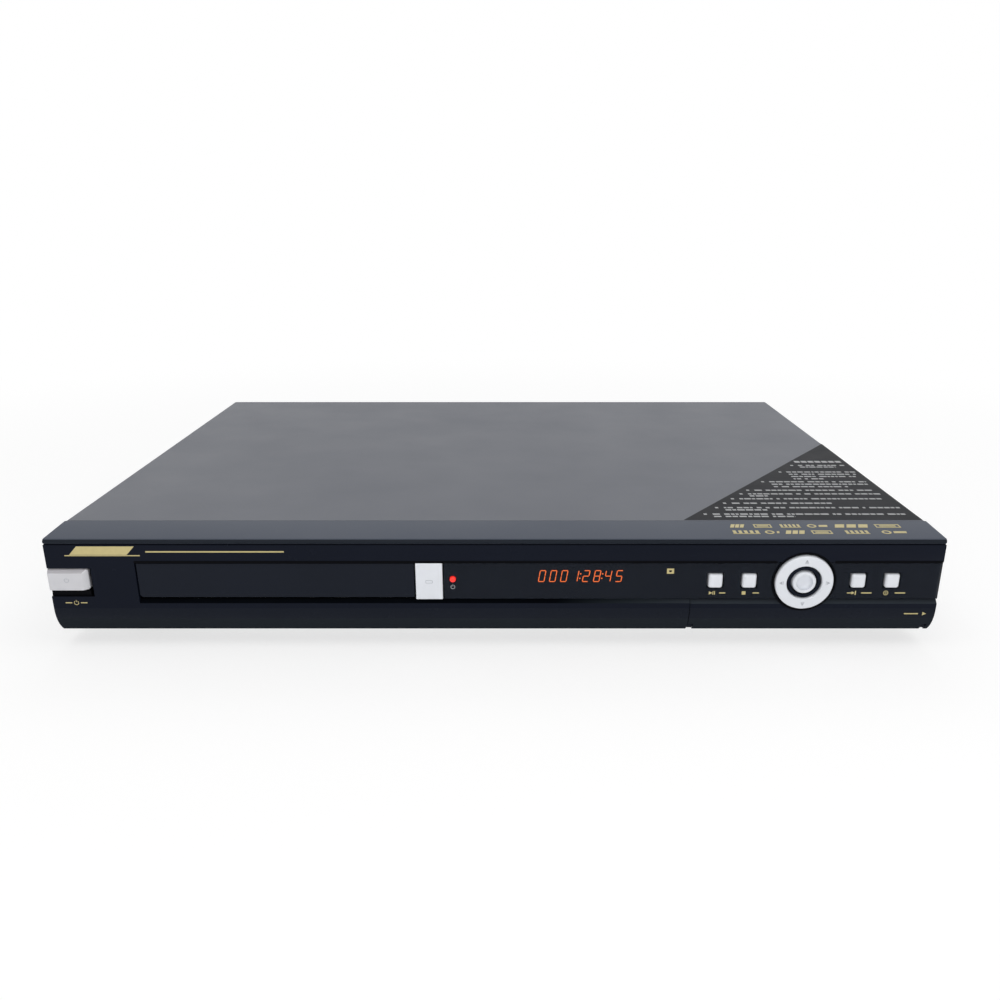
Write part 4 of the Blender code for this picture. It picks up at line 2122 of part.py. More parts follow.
# Rear sockets, inlet and fan


def rear_socket_places():
    places = []
    for row in range(SOCKET_ROWS):
        for column in range(SOCKET_COLUMNS):
            x = SOCKET_BLOCK_X + (column - (SOCKET_COLUMNS - 1) / 2) * SOCKET_PITCH
            places.append((x, SOCKET_ROW_LEVEL + row * SOCKET_ROW_PITCH))
    return places


def add_barrels(block, places, radius, bore, front):
    """Round sockets that stand out of the rear panel, with their bores."""
    tip = FRONT_Y + CASE_DEPTH + SOCKET_STANDOUT
    barrels = new_shape()
    bores = new_shape()
    for place in places:
        rod(barrels, "y", place, radius, front, tip)
        rod(bores, "y", place, bore, front + GAP, tip + OVERRUN)
    join(block, barrels, "barrels")
    cut(block, bores, "bores")


def make_rear_socket_block():
    places = rear_socket_places()
    half = SOCKET_PITCH / 2
    x = (places[0][0] - half, places[-1][0] + half)
    level = (COMPONENT_LEVEL, places[-1][1] + half)
    bm = new_shape()
    case_box(bm, x, (REAR_INNER_DEPTH - SOCKET_BODY_DEPTH, REAR_INNER_DEPTH), level)
    block = make("rear_socket_block", bm, "dark_plastic")
    start = FRONT_Y + REAR_INNER_DEPTH - SOCKET_BODY_DEPTH / 2
    add_barrels(block, places, SOCKET_RADIUS, SOCKET_CONTACT_RADIUS, start)


def aerial_places():
    level = COMPONENT_LEVEL + TUNER_HEIGHT / 2
    return [(TUNER_X + side * AERIAL_OFFSET, level) for side in (-1, 1)]


def make_tuner():
    half = TUNER_WIDTH / 2
    depth = (REAR_INNER_DEPTH - TUNER_LENGTH, REAR_INNER_DEPTH)
    bm = new_shape()
    case_box(bm, (TUNER_X - half, TUNER_X + half), depth, (COMPONENT_LEVEL, COMPONENT_LEVEL + TUNER_HEIGHT))
    tuner = make("tuner_can", bm, "steel")
    add_barrels(tuner, aerial_places(), AERIAL_RADIUS, AERIAL_BORE, FRONT_Y + REAR_INNER_DEPTH - OVERRUN)


def inlet_outline(margin):
    """The rounded oblong of the mains inlet, grown by a margin."""
    half = INLET_WIDTH / 2 + margin
    rise = INLET_HEIGHT / 2 + margin
    corner = INLET_HEIGHT / 4
    points = []
    for across, up, start in ((1, -1, -90), (1, 1, 0), (-1, 1, 90), (-1, -1, 180)):
        for i in range(QUARTER_STEPS + 1):
            angle = math.radians(start + 90 * i / QUARTER_STEPS)
            x = INLET_X + across * (half - corner) + corner * math.cos(angle)
            points.append((x, INLET_LEVEL + up * (rise - corner) + corner * math.sin(angle)))
    return points


def make_mains_inlet():
    face = FRONT_Y + REAR_FACE_DEPTH + GAP
    rear = face + INLET_FLANGE_THICKNESS
    bm = new_shape()
    prism(bm, inlet_outline(0), "y", rear - INLET_LENGTH, rear)
    inlet = make("mains_inlet", bm, "dark_plastic")
    flange = new_shape()
    prism(flange, inlet_outline(INLET_FLANGE), "y", face, rear)
    join(inlet, flange, "flange")
    hollow = new_shape()
    prism(hollow, inlet_outline(-INLET_WALL), "y", rear - INLET_LENGTH + INLET_FLOOR, rear + OVERRUN)
    cut(inlet, hollow, "hollow")


def fan_centre():
    return FAN_X, FAN_LEVEL


def make_fan_frame():
    half = FAN_SIDE / 2
    depth = (REAR_INNER_DEPTH - FAN_THICKNESS, REAR_INNER_DEPTH)
    bm = new_shape()
    case_box(bm, (FAN_X - half, FAN_X + half), depth, (FAN_LEVEL - half, FAN_LEVEL + half))
    frame = make("fan_frame", bm, "dark_plastic")
    start = FRONT_Y + depth[0]
    end = FRONT_Y + depth[1]
    bore = new_shape()
    rod(bore, "y", fan_centre(), FAN_BORE, start - OVERRUN, end + OVERRUN, ROUND)
    cut(frame, bore, "bore")
    struts = new_shape()
    side = FAN_STRUT / 2
    reach = FAN_BORE + FAN_STRUT / 2
    high = (FAN_X + side, start + FAN_PLATE, FAN_LEVEL + reach)
    box(struts, (FAN_X - side, start, FAN_LEVEL - reach), high)
    join(frame, struts, "upright_struts")
    cross = new_shape()
    offset = GAP / 10
    high = (FAN_X + reach, start + FAN_PLATE - offset, FAN_LEVEL + side)
    box(cross, (FAN_X - reach, start + offset, FAN_LEVEL - side), high)
    join(frame, cross, "level_struts")
    plate = new_shape()
    rod(plate, "y", fan_centre(), FAN_HUB, start + offset * 2, start + FAN_PLATE + offset, ROUND)
    join(frame, plate, "plate")


def make_fan_rotor():
    start = FRONT_Y + REAR_INNER_DEPTH - FAN_THICKNESS + FAN_PLATE + GAP * 2
    end = FRONT_Y + REAR_INNER_DEPTH - GAP * 3
    bm = new_shape()
    rod(bm, "y", fan_centre(), FAN_HUB, start, end, ROUND)
    rotor = make("fan_rotor", bm, "dark_plastic", (FAN_X, (start + end) / 2, FAN_LEVEL))
    blades = new_shape()
    middle = Vector((FAN_X, (start + end) / 2, FAN_LEVEL))
    width = (end - start - FAN_BLADE_THICKNESS) / math.sin(FAN_BLADE_PITCH)
    for i in range(FAN_BLADES):
        blade = new_shape()
        reach = FAN_TIP * math.cos(FAN_BLADE_SPAN)
        low = (-width / 2, -FAN_BLADE_THICKNESS / 2, FAN_HUB - FAN_BLADE_THICKNESS)
        box(blade, low, (width / 2, FAN_BLADE_THICKNESS / 2, reach))
        move(blade, Matrix.Rotation(FAN_BLADE_PITCH, 4, "Z"))
        move(blade, Matrix.Rotation(2 * math.pi * i / FAN_BLADES, 4, "Y"))
        move(blade, Matrix.Translation(middle))
        piece = bpy.data.meshes.new("blade")
        blade.to_mesh(piece)
        blade.free()
        blades.from_mesh(piece)
        bpy.data.meshes.remove(piece)
    join(rotor, blades, "blades")


# Steel case and feet


def make_base_pan():
    rear = REAR_INNER_DEPTH
    half = SHELL_HALF
    top = PAN_TOP + FLANGE_HEIGHT
    outline = [
        (-half, FOOT_HEIGHT), (half, FOOT_HEIGHT), (half, top), (half - SHEET, top),
        (half - SHEET, PAN_TOP), (-half + SHEET, PAN_TOP), (-half + SHEET, top), (-half, top),
    ]
    bm = new_shape()
    prism(bm, outline, "y", FRONT_Y + SHELL_FRONT, FRONT_Y + rear)
    pan = make("base_pan", bm, "steel")
    flange = new_shape()
    levels = (FOOT_HEIGHT + SHEET / 2, top - SHEET)
    reach = half - SHEET / 2
    case_box(flange, (-reach, reach), (SHELL_FRONT, SHELL_FRONT + SHEET), levels)
    join(pan, flange, "front_flange")
    posts = new_shape()
    places = post_places(POWER_LEFT, POWER_WIDTH, POWER_FRONT, POWER_LENGTH)
    places += post_places(MAIN_LEFT, MAIN_WIDTH, MAIN_FRONT, MAIN_LENGTH)
    for place in places:
        rod(posts, "z", place, POST_RADIUS, PAN_TOP - POST_SINK, BOARD_LEVEL - GAP)
    drive_half = DRIVE_WIDTH / 2 - DRIVE_WALL * 2
    for x in (DRIVE_X - drive_half, DRIVE_X + drive_half):
        for depth in (DRIVE_FRONT + DRIVE_WALL * 3, DRIVE_REAR - DRIVE_WALL * 3):
            rod(posts, "z", (x, FRONT_Y + depth), POST_RADIUS, PAN_TOP - POST_SINK, DRIVE_BOTTOM - GAP)
    join(pan, posts, "posts")


def make_rear_panel():
    bottom = FOOT_HEIGHT
    top = TOP_LEVEL - SHEET - GAP
    bm = new_shape()
    case_box(bm, (-SHELL_HALF, SHELL_HALF), (REAR_FACE_DEPTH - SHEET, REAR_FACE_DEPTH), (bottom, top))
    panel = make("rear_panel", bm, "steel")
    low = FRONT_Y + REAR_FACE_DEPTH - OVERRUN
    high = FRONT_Y + REAR_FACE_DEPTH + OVERRUN
    holes = new_shape()
    for place in rear_socket_places():
        rod(holes, "y", place, SOCKET_RADIUS + SOCKET_HOLE_GAP, low, high)
    for place in aerial_places():
        rod(holes, "y", place, AERIAL_RADIUS + SOCKET_HOLE_GAP, low, high)
    prism(holes, inlet_outline(GAP), "y", low, high)
    cut(panel, holes, "socket_holes")
    grille = new_shape()
    for i in range(GRILLE_SLOTS):
        offset = (i - (GRILLE_SLOTS - 1) / 2) * GRILLE_PITCH
        half = math.sqrt(FAN_BORE**2 - offset**2)
        level = FAN_LEVEL + offset
        edge = GRILLE_SLOT_HEIGHT / 2
        box(grille, (FAN_X - half, low, level - edge), (FAN_X + half, high, level + edge))
    cut(panel, grille, "grille")


def make_top_cover():
    half = HALF_WIDTH
    bottom = FOOT_HEIGHT + GAP
    corner = SHELL_CORNER
    inner = half - SHEET
    ceiling = TOP_LEVEL - SHEET
    outline = [(-half, bottom)]
    for side, start in ((-1, 180), (1, 90)):
        for i in range(QUARTER_STEPS + 1):
            angle = math.radians(start - 90 * i / QUARTER_STEPS)
            x = side * (half - corner) + corner * math.cos(angle)
            outline.append((x, TOP_LEVEL - corner + corner * math.sin(angle)))
    outline += [(half, bottom), (inner, bottom), (inner, ceiling), (-inner, ceiling), (-inner, bottom)]
    bm = new_shape()
    prism(bm, outline, "y", FRONT_Y + SHELL_FRONT, FRONT_Y + CASE_DEPTH)
    cover = make("top_cover", bm, "grey_paint")
    vents = new_shape()
    top = TOP_LEVEL - VENT_TOP_DROP
    for side in (-1, 1):
        ends = sorted((side * (half - SHEET * 2), side * (half + SHEET)))
        for i in range(VENT_COUNT):
            depth = CASE_DEPTH - VENT_REAR_MARGIN - i * VENT_PITCH
            case_box(vents, ends, (depth, depth + VENT_WIDTH), (top - VENT_HEIGHT, top))
    cut(cover, vents, "vents")


def make_feet():
    rear = FOOT_FRONT_DEPTH + (CASE_DEPTH - FOOT_FRONT_DEPTH * 2)
    top = FOOT_HEIGHT - GAP
    profile = [
        (0, FOOT_PAD_RECESS),
        (FOOT_SCREW_RADIUS, FOOT_PAD_RECESS),
        (FOOT_SCREW_RADIUS, 0),
        (FOOT_RADIUS, 0),
        (FOOT_TOP_RADIUS, top / 2),
        (FOOT_TOP_RADIUS, top),
        (0, top),
    ]
    for name, side, depth in (
        ("foot_front_left", -1, FOOT_FRONT_DEPTH),
        ("foot_front_right", 1, FOOT_FRONT_DEPTH),
        ("foot_rear_left", -1, rear),
        ("foot_rear_right", 1, rear),
    ):
        centre = (side * (HALF_WIDTH - FOOT_INSET), FRONT_Y + depth)
        bm = new_shape()
        turned(bm, profile, centre)
        make(name, bm, "rubber", (centre[0], centre[1], 0), smooth=True)


def make_front():
    make_front_panel()
    make_top_trim()
    make_windows()
    for number, x in enumerate(function_places(), 1):
        make_function_button(number, x)
    make_eject_button()
    make_standby_button()
    make_dial_button()
    make_dial_ring()
    make_dial_gimbal()
    make_flap()
    make_display_module()
    make_standby_light()
    make_front_board()
    make_standby_board()
    make_front_sockets()
    make_serial_port()


def make_drive():
    make_tray_door()
    make_disc_tray()
    make_loading_gear()
    make_loading_motor()
    make_motor_pulley()
    make_loading_belt()
    make_drive_chassis()
    make_clamp_bridge()
    make_clamp_puck()
    make_traverse_base()
    make_spindle_motor()
    make_turntable()
    make_pickup_sled()
    make_guide_rod()
    make_lead_screw()
    make_sled_motor()
    make_cam_slider()


def make_hard_disk():
    make_disk_bracket()
    make_disk_board()
    make_disk_case()
    make_disk_cover()
    make_disk_platter()
    make_head_arm()


def make_electronics():
    make_power_board()
    make_transformer()
    make_capacitor()
    make_main_board()
    make_drive_cable()
    make_rear_socket_block()
    make_tuner()
    make_mains_inlet()
    make_fan_frame()
    make_fan_rotor()


def make_case():
    make_base_pan()
    make_rear_panel()
    make_top_cover()
    make_feet()


def main():
    for item in list(bpy.data.objects):
        bpy.data.objects.remove(item, do_unlink=True)
    make_front()
    make_drive()
    make_hard_disk()
    make_electronics()
    make_case()


main()
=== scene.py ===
"""Visual model of a hard disk and disc recorder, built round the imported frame."""
import json
import random
from math import asin, atan2, cos, hypot, pi, radians, sin, tan

import bmesh
import bpy
from mathutils import Matrix, Vector


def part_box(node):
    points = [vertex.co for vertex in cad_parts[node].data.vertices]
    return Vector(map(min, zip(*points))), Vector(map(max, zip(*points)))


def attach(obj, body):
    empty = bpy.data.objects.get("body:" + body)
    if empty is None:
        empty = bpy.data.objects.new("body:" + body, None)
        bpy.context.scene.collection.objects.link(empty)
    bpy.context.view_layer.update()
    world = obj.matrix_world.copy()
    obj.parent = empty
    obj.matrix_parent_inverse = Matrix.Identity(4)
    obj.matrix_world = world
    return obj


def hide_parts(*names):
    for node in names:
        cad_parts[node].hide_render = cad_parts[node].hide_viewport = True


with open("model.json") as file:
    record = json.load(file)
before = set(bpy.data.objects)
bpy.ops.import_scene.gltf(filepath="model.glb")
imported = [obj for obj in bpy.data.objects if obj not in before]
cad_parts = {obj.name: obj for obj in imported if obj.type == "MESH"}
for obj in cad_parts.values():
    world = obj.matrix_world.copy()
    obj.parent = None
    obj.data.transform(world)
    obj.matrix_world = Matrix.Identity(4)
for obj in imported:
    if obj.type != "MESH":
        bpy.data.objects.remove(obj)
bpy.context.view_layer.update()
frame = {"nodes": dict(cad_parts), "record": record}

NODES = frame["nodes"]
BODY_OF = {}
for body_name, members in frame["record"]["behaviour"]["bodies"].items():
    for member in members:
        BODY_OF[member] = body_name
SLOT_OF = {row["node"]: row["material_slot"] for row in frame["record"]["subparts"]}

# Sizes shared with the frame, in metres
FRONT_Y = -0.1777
TOP_LEVEL = 0.0595
HALF_WIDTH = 0.215
NOSE_DROP = 0.0024
FACE_LEAN = radians(5.07)
DIAL_X = 0.1491
DIAL_DROP = 0.0233
PRINT = 0.00005
# Function buttons from the dial's centre, and how far below the top the rows lie
BUTTON_OFFSETS = (-0.0426, -0.0263, 0.0263, 0.0426)
BUTTON_DROP = 0.0229
STANDBY_DROP = 0.0222
LIGHT_X = -0.0203
WINDOW_DEPTH = 0.0004
# Readout: first digit, level and spacing
DIGIT_X = 0.0228
DIGIT_DROP = 0.0204
DIGIT_PITCH = 0.0053
# The curved lower front
BEND_RADIUS = 0.02
BEND_DROP = 0.0375
# Inside and rear
REAR_TIP = 0.1785
BOARD_TOP = 0.0216
TRANSISTOR_ROW = (0.066, 0.083, 0.1)
DISC_X = -0.1056
# Finishes
GRAIN_DEPTH = 0.0001
GLOSS_SPREAD = 0.04
SMOOTH_ANGLE = radians(35)


def make_camera():
    data = bpy.data.cameras.new("camera")
    data.sensor_width = 36
    data.lens = 36
    data.shift_x = -0.0083
    data.clip_start = 0.01
    camera = bpy.data.objects.new("camera", data)
    camera.location = (0.0065, -0.6282, 0.2083)
    camera.rotation_euler = (radians(73.85), 0, 0)
    bpy.context.scene.collection.objects.link(camera)
    bpy.context.scene.camera = camera


make_camera()


# Node materials


def srgb(red, green, blue):
    """Linear colour of an 8-bit one."""
    values = []
    for value in (red, green, blue):
        share = value / 255
        values.append(share / 12.92 if share <= 0.04045 else ((share + 0.055) / 1.055) ** 2.4)
    return tuple(values)


def shade(colour, factor):
    return tuple(min(1, value * factor) for value in colour)


class Finish:
    """A node material being put together. Its textures lie in object coordinates."""

    def __init__(self, name, stretch=(1, 1, 1)):
        self.material = bpy.data.materials.new(name)
        self.material.use_nodes = True
        self.nodes = self.material.node_tree.nodes
        self.links = self.material.node_tree.links
        self.shader = self.nodes["Principled BSDF"]
        coordinates = self.add("TexCoord", {})
        self.place = self.add("Mapping", {"Vector": coordinates.outputs["Object"]}, Scale=stretch).outputs["Vector"]

    def feed(self, node, sources, **values):
        """Links sockets to the node's inputs and sets the plain values of others."""
        for key, socket in sources.items():
            self.links.new(socket, node.inputs[key])
        for key, value in values.items():
            node.inputs[key.replace("_", " ")].default_value = value

    def add(self, kind, sources, **values):
        node = self.nodes.new(f"ShaderNode{kind}")
        self.feed(node, sources, **values)
        return node

    def noise(self, scale, detail=4.0, rough=0.55):
        node = self.add("TexNoise", {"Vector": self.place}, Scale=scale, Detail=detail, Roughness=rough)
        return node.outputs["Fac"]

    def ramp(self, source, stops):
        node = self.add("ValToRGB", {"Fac": source})
        elements = node.color_ramp.elements
        while len(elements) < len(stops):
            elements.new(0.5)
        for element, (position, colour) in zip(elements, stops):
            element.position = position
            element.color = tuple(colour) + (1,)
        return node.outputs["Color"]

    def span(self, source, low, high):
        """Spreads the middle of a noise over a range."""
        node = self.add("MapRange", {"Value": source}, From_Min=0.3, From_Max=0.7, To_Min=low, To_Max=high)
        return node.outputs["Result"]

    def bump(self, height, strength, distance=GRAIN_DEPTH):
        node = self.add("Bump", {"Height": height}, Strength=strength, Distance=distance)
        self.feed(self.shader, {"Normal": node.outputs["Normal"]})

    def done(self, sources, **values):
        self.feed(self.shader, sources, **values)
        return self.material


def surface(name, colour, rough, metallic=0.0, spread=0.05, cloud=25.0, grain=0.1, grain_scale=2500.0,
            stretch=(1, 1, 1), specular=0.5, coat=0.0, alpha=1.0):
    """A finish with clouded colour, uneven gloss and fine grain."""
    finish = Finish(name, stretch)
    tone = finish.ramp(finish.noise(cloud), ((0.3, shade(colour, 1 - spread)), (0.7, shade(colour, 1 + spread))))
    gloss = finish.span(finish.noise(cloud * 3, 6.0), max(rough - GLOSS_SPREAD, 0.02), rough + GLOSS_SPREAD)
    finish.bump(finish.noise(grain_scale, 2.0), grain)
    return finish.done({"Base Color": tone, "Roughness": gloss}, Metallic=metallic, Specular_IOR_Level=specular,
                       Coat_Weight=coat, Coat_Roughness=0.08, Alpha=alpha)


def zinc_sheet(name, colour):
    """Galvanised sheet with its crystal pattern."""
    finish = Finish(name)
    cells = finish.add("TexVoronoi", {"Vector": finish.place}, Scale=230)
    grey = finish.add("RGBToBW", {"Color": cells.outputs["Color"]}).outputs["Val"]
    tone = finish.ramp(grey, ((0.2, shade(colour, 0.94)), (0.8, shade(colour, 1.04))))
    finish.bump(finish.noise(900), 0.08)
    return finish.done({"Base Color": tone, "Roughness": finish.span(grey, 0.34, 0.42)}, Metallic=1.0)


def circuit_board(name, colour, track):
    """Lacquered board with tracks and plated holes."""
    finish = Finish(name)
    cells = finish.add("TexVoronoi", {"Vector": finish.place}, Scale=210)
    cells.feature = "DISTANCE_TO_EDGE"
    tracks = finish.ramp(cells.outputs["Distance"], ((0.045, track), (0.065, colour)))
    dots = finish.add("TexVoronoi", {"Vector": finish.place}, Scale=330)
    holes = finish.ramp(dots.outputs["Distance"], ((0.16, (1, 1, 1)), (0.19, (0, 0, 0))))
    mix = finish.add("Mix", {})
    mix.data_type = "RGBA"
    finish.feed(mix, {"Factor": holes, 6: tracks})
    mix.inputs[7].default_value = (0.42, 0.4, 0.34, 1)
    finish.bump(cells.outputs["Distance"], 0.2)
    return finish.done({"Base Color": mix.outputs[2], "Roughness": finish.span(finish.noise(60), 0.28, 0.42)})


def winding(name, colour):
    """Enamelled wire laid in close turns."""
    finish = Finish(name)
    turns = finish.add("TexWave", {"Vector": finish.place}, Scale=450, Distortion=0.6)
    turns.bands_direction = "Z"
    wave = turns.outputs["Fac"]
    finish.bump(wave, 0.5, 0.0002)
    tone = finish.ramp(wave, ((0.0, shade(colour, 0.5)), (1.0, shade(colour, 1.15))))
    return finish.done({"Base Color": tone, "Roughness": finish.span(wave, 0.25, 0.4)}, Metallic=0.8)


def ribbon(name, colour):
    """Flat cable with its row of parallel wires."""
    finish = Finish(name)
    wires = finish.add("TexWave", {"Vector": finish.place}, Scale=250)
    wires.bands_direction = "X"
    wave = wires.outputs["Fac"]
    finish.bump(wave, 0.5, 0.0003)
    tone = finish.ramp(wave, ((0.0, shade(colour, 0.72)), (0.5, shade(colour, 1.08)), (1.0, colour)))
    return finish.done({"Base Color": tone, "Roughness": finish.span(finish.noise(60), 0.42, 0.52)})


def glowing(name, colour, strength):
    finish = Finish(name)
    glow = finish.ramp(finish.noise(900), ((0.3, shade(colour, 0.85)), (0.7, shade(colour, 1.1))))
    return finish.done({"Emission Color": glow, "Base Color": glow}, Emission_Strength=strength, Roughness=0.4)


def painted_ledge_shade(name):
    """Black moulding with painted shade and reflection: it turns from deep black to grey along the front."""
    finish = Finish(name)
    across = finish.add("SeparateXYZ", {"Vector": finish.place}).outputs["X"]
    along = finish.add("MapRange", {"Value": across}, From_Min=0.03, From_Max=0.1)
    speck = finish.add("Math", {})
    speck.operation = "MULTIPLY_ADD"
    speck.inputs[1].default_value = 0.06
    finish.feed(speck, {0: finish.noise(60), 2: along.outputs["Result"]})
    stops = ((0.0, (0.0014, 0.0018, 0.003)), (0.45, (0.014, 0.018, 0.022)), (1.0, (0.03, 0.036, 0.044)))
    tone = finish.ramp(speck.outputs["Value"], stops)
    return finish.done({"Base Color": tone, "Roughness": finish.span(finish.noise(90), 0.28, 0.36)},
                       Specular_IOR_Level=0.0)


CASE_PAINT = {"spread": 0.012, "cloud": 6, "grain_scale": 2600}
METAL_PAINT = {"spread": 0.02, "cloud": 120, "grain": 0.05, "grain_scale": 5000}
INK = {"cloud": 400, "grain": 0.05}
PAINT = surface("satin_paint", srgb(110, 113, 121), 0.42, grain=0.18, **CASE_PAINT, specular=0.08)
TRIM = surface("trim_paint", srgb(84, 90, 102), 0.4, grain=0.12, **CASE_PAINT, specular=0.08)
# Darker tone for the trim's downward-facing nose: painted shade
NOSE = surface("nose_painted_shade", srgb(28, 33, 41), 0.32, spread=0.04, cloud=18, grain=0.05, specular=0.08)
BLACK = surface("black_moulding", (0.0062, 0.0084, 0.016), 0.24, cloud=18, grain=0.04, specular=0.06)
DOOR = surface("black_door", (0.0108, 0.0135, 0.021), 0.22, spread=0.04, cloud=18, grain=0.03, specular=0.07)
SMOKE = surface("smoked_window", (0.0115, 0.0145, 0.0215), 0.1, spread=0.04, cloud=20, grain=0.01,
                specular=0.07, alpha=0.86)
SILVER = surface("silver_paint", srgb(226, 229, 235), 0.32, 0.1, **METAL_PAINT, specular=0.4)
STEEL = zinc_sheet("zinc_sheet", (0.56, 0.57, 0.58))
BRIGHT = surface("turned_steel", (0.66, 0.67, 0.68), 0.24, 1.0, cloud=60, grain=0.05, stretch=(1, 1, 12))
CAST = surface("cast_aluminium", (0.6, 0.61, 0.62), 0.46, 1.0, 0.07, cloud=60, grain=0.35, grain_scale=1800)
MIRROR = surface("platter_film", (0.8, 0.8, 0.8), 0.06, 1.0, spread=0.02, cloud=20, grain=0.0)
RUBBER = surface("rubber", (0.022, 0.022, 0.023), 0.78, spread=0.12, cloud=90, grain=0.35)
BOARD = circuit_board("circuit_board", (0.014, 0.105, 0.042), (0.03, 0.19, 0.075))
WHITE = surface("white_moulding", (0.7, 0.7, 0.66), 0.48, spread=0.04, cloud=60, grain=0.12)
GREY = surface("grey_moulding", (0.22, 0.22, 0.23), 0.5, cloud=60, grain=0.15)
DARK = surface("dark_moulding", (0.03, 0.03, 0.034), 0.46, spread=0.08, cloud=50, grain=0.22)
RED_LENS = glowing("red_lens", srgb(235, 40, 30), 0.7)
COPPER = winding("winding", (0.55, 0.22, 0.09))
GOLD = surface("gold_ink", srgb(196, 182, 128), 0.42, 0.2, **INK)
PALE_INK = surface("pale_ink", srgb(176, 178, 180), 0.5, **INK)
GREY_INK = surface("grey_ink", srgb(176, 179, 186), 0.5, spread=0.04, cloud=400, grain=0.05)
FILM = surface("dark_film", srgb(54, 55, 58), 0.4, spread=0.03, cloud=30, grain=0.05, specular=0.01)
ORANGE = glowing("orange_readout", srgb(200, 88, 28), 0.85)
# Painted shade and reflection for the ledge under the windows
LEDGE_PAINTED_SHADE = painted_ledge_shade("ledge_painted_shade_and_reflection")
# Darker silver for the standby button's top bevel: painted shade
SILVER_TOP_PAINTED_SHADE = surface("silver_top_painted_shade", srgb(176, 174, 178), 0.36, 0.1, **METAL_PAINT, specular=0.3)
# Near-black for painted shade in gaps and recesses
PAINTED_SHADE_BLACK = surface("painted_shade_black", (0.0018, 0.002, 0.0032), 0.5, cloud=30, grain=0.05, specular=0.04)
GLASS_FACE = surface("readout_glass", (0.13, 0.15, 0.145), 0.2, cloud=40, grain=0.02)
# Lighter copies of the black moulding for the curved lower front: painted light and painted reflection
CURVE_PAINTED_LIGHT = surface("curve_painted_light", (0.01, 0.0125, 0.0195), 0.26, cloud=18, grain=0.04, specular=0.05)
UNDERSIDE_PAINTED_REFLECTION = surface("underside_painted_reflection", (0.018, 0.0215, 0.027), 0.34, cloud=18, grain=0.04, specular=0.0)
SATIN_SILVER = surface("satin_silver", srgb(206, 206, 210), 0.36, 0.1, **METAL_PAINT, specular=0.3)
LENS = surface("lens_glass", (0.045, 0.075, 0.15), 0.05, cloud=200, grain=0.0, specular=0.8, coat=0.5)
FUSE_GLASS = surface("fuse_glass", (0.6, 0.64, 0.62), 0.05, spread=0.02, cloud=90, grain=0.0, alpha=0.35)
SLEEVE = surface("capacitor_sleeve", (0.018, 0.024, 0.05), 0.34, spread=0.06, cloud=90, grain=0.05)
AMBER = surface("amber_varnish", (0.48, 0.3, 0.06), 0.4, spread=0.08, cloud=120, grain=0.08)
NICKEL = surface("nickel_plate", (0.72, 0.69, 0.63), 0.2, 1.0, spread=0.04, cloud=200, grain=0.03)
CHIP = surface("chip_resin", (0.02, 0.02, 0.022), 0.58, spread=0.1, cloud=300, grain=0.3)
CABLE = ribbon("ribbon_sleeve", (0.36, 0.37, 0.39))

SLOT_FINISH = {
    "grey_paint": PAINT, "trim_grey": TRIM, "black_plastic": BLACK, "smoked_plastic": SMOKE,
    "silver_plastic": SILVER, "grey_plastic": GREY, "steel": STEEL, "aluminium": CAST, "rubber": RUBBER,
    "green_board": BOARD, "white_plastic": WHITE, "red_plastic": RED_LENS, "dark_plastic": DARK,
    "copper": COPPER,
}
NODE_FINISH = {
    "tray_door": DOOR, "disk_platter": MIRROR, "guide_rod": BRIGHT, "lead_screw": BRIGHT,
    "loading_motor": BRIGHT, "spindle_motor": BRIGHT, "sled_motor": BRIGHT, "drive_cable": CABLE,
    "disk_cover": BRIGHT, "display_module": GLASS_FACE,
}


def finish_of(node):
    return NODE_FINISH.get(node, SLOT_FINISH[SLOT_OF[node]])


# Building pieces


def link_mesh(name, bm, material):
    mesh = bpy.data.meshes.new(name)
    bm.to_mesh(mesh)
    bm.free()
    mesh.materials.append(material)
    piece = bpy.data.objects.new(name, mesh)
    bpy.context.scene.collection.objects.link(piece)
    return piece


def to_object(name, bm, material, body="case", smooth=True, stands_for=None):
    """A piece that rides on a body, takes a slot's finish and may stand for a CAD node."""
    bmesh.ops.recalc_face_normals(bm, faces=bm.faces[:])
    piece = link_mesh(name, bm, material)
    if smooth:
        piece.data.shade_smooth()
        piece.data.set_sharp_from_angle(angle=SMOOTH_ANGLE)
    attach(piece, body)
    if stands_for:
        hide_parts(stands_for)
    return piece


def soften(piece, width, segments=2):
    bevel = piece.modifiers.new("edges", "BEVEL")
    bevel.width = width
    bevel.segments = segments
    bevel.limit_method = "ANGLE"
    bevel.angle_limit = radians(40)
    bevel.use_clamp_overlap = True
    bevel.harden_normals = False


def refine(node, width, segments=2):
    """A copy of a CAD node with its flat faces merged and its edges softened."""
    bm = bmesh.new()
    bm.from_mesh(NODES[node].data)
    bmesh.ops.remove_doubles(bm, verts=bm.verts[:], dist=0.000002)
    bmesh.ops.dissolve_limit(bm, angle_limit=radians(0.5), verts=bm.verts[:], edges=bm.edges[:])
    piece = to_object(f"{node}_skin", bm, finish_of(node), BODY_OF[node], stands_for=node)
    if width:
        soften(piece, width, segments)
    return piece


def paint_faces(piece, material, pick):
    """Gives the faces that pick chooses, by normal and centre, a second finish."""
    piece.data.materials.append(material)
    number = len(piece.data.materials) - 1
    for polygon in piece.data.polygons:
        if pick(polygon.normal, polygon.center):
            polygon.material_index = number


def at(x, y, z):
    return Matrix.Translation((x, y, z))


def turned(degrees, axis):
    return Matrix.Rotation(radians(degrees), 4, axis)


def face_matrix():
    origin = at(0, FRONT_Y, TOP_LEVEL - NOSE_DROP)
    return origin @ Matrix.Rotation(FACE_LEAN, 4, "X")


def face_up(drop):
    return -(drop - NOSE_DROP) / cos(FACE_LEAN)


def face_depth(drop):
    return (drop - NOSE_DROP) * tan(FACE_LEAN)


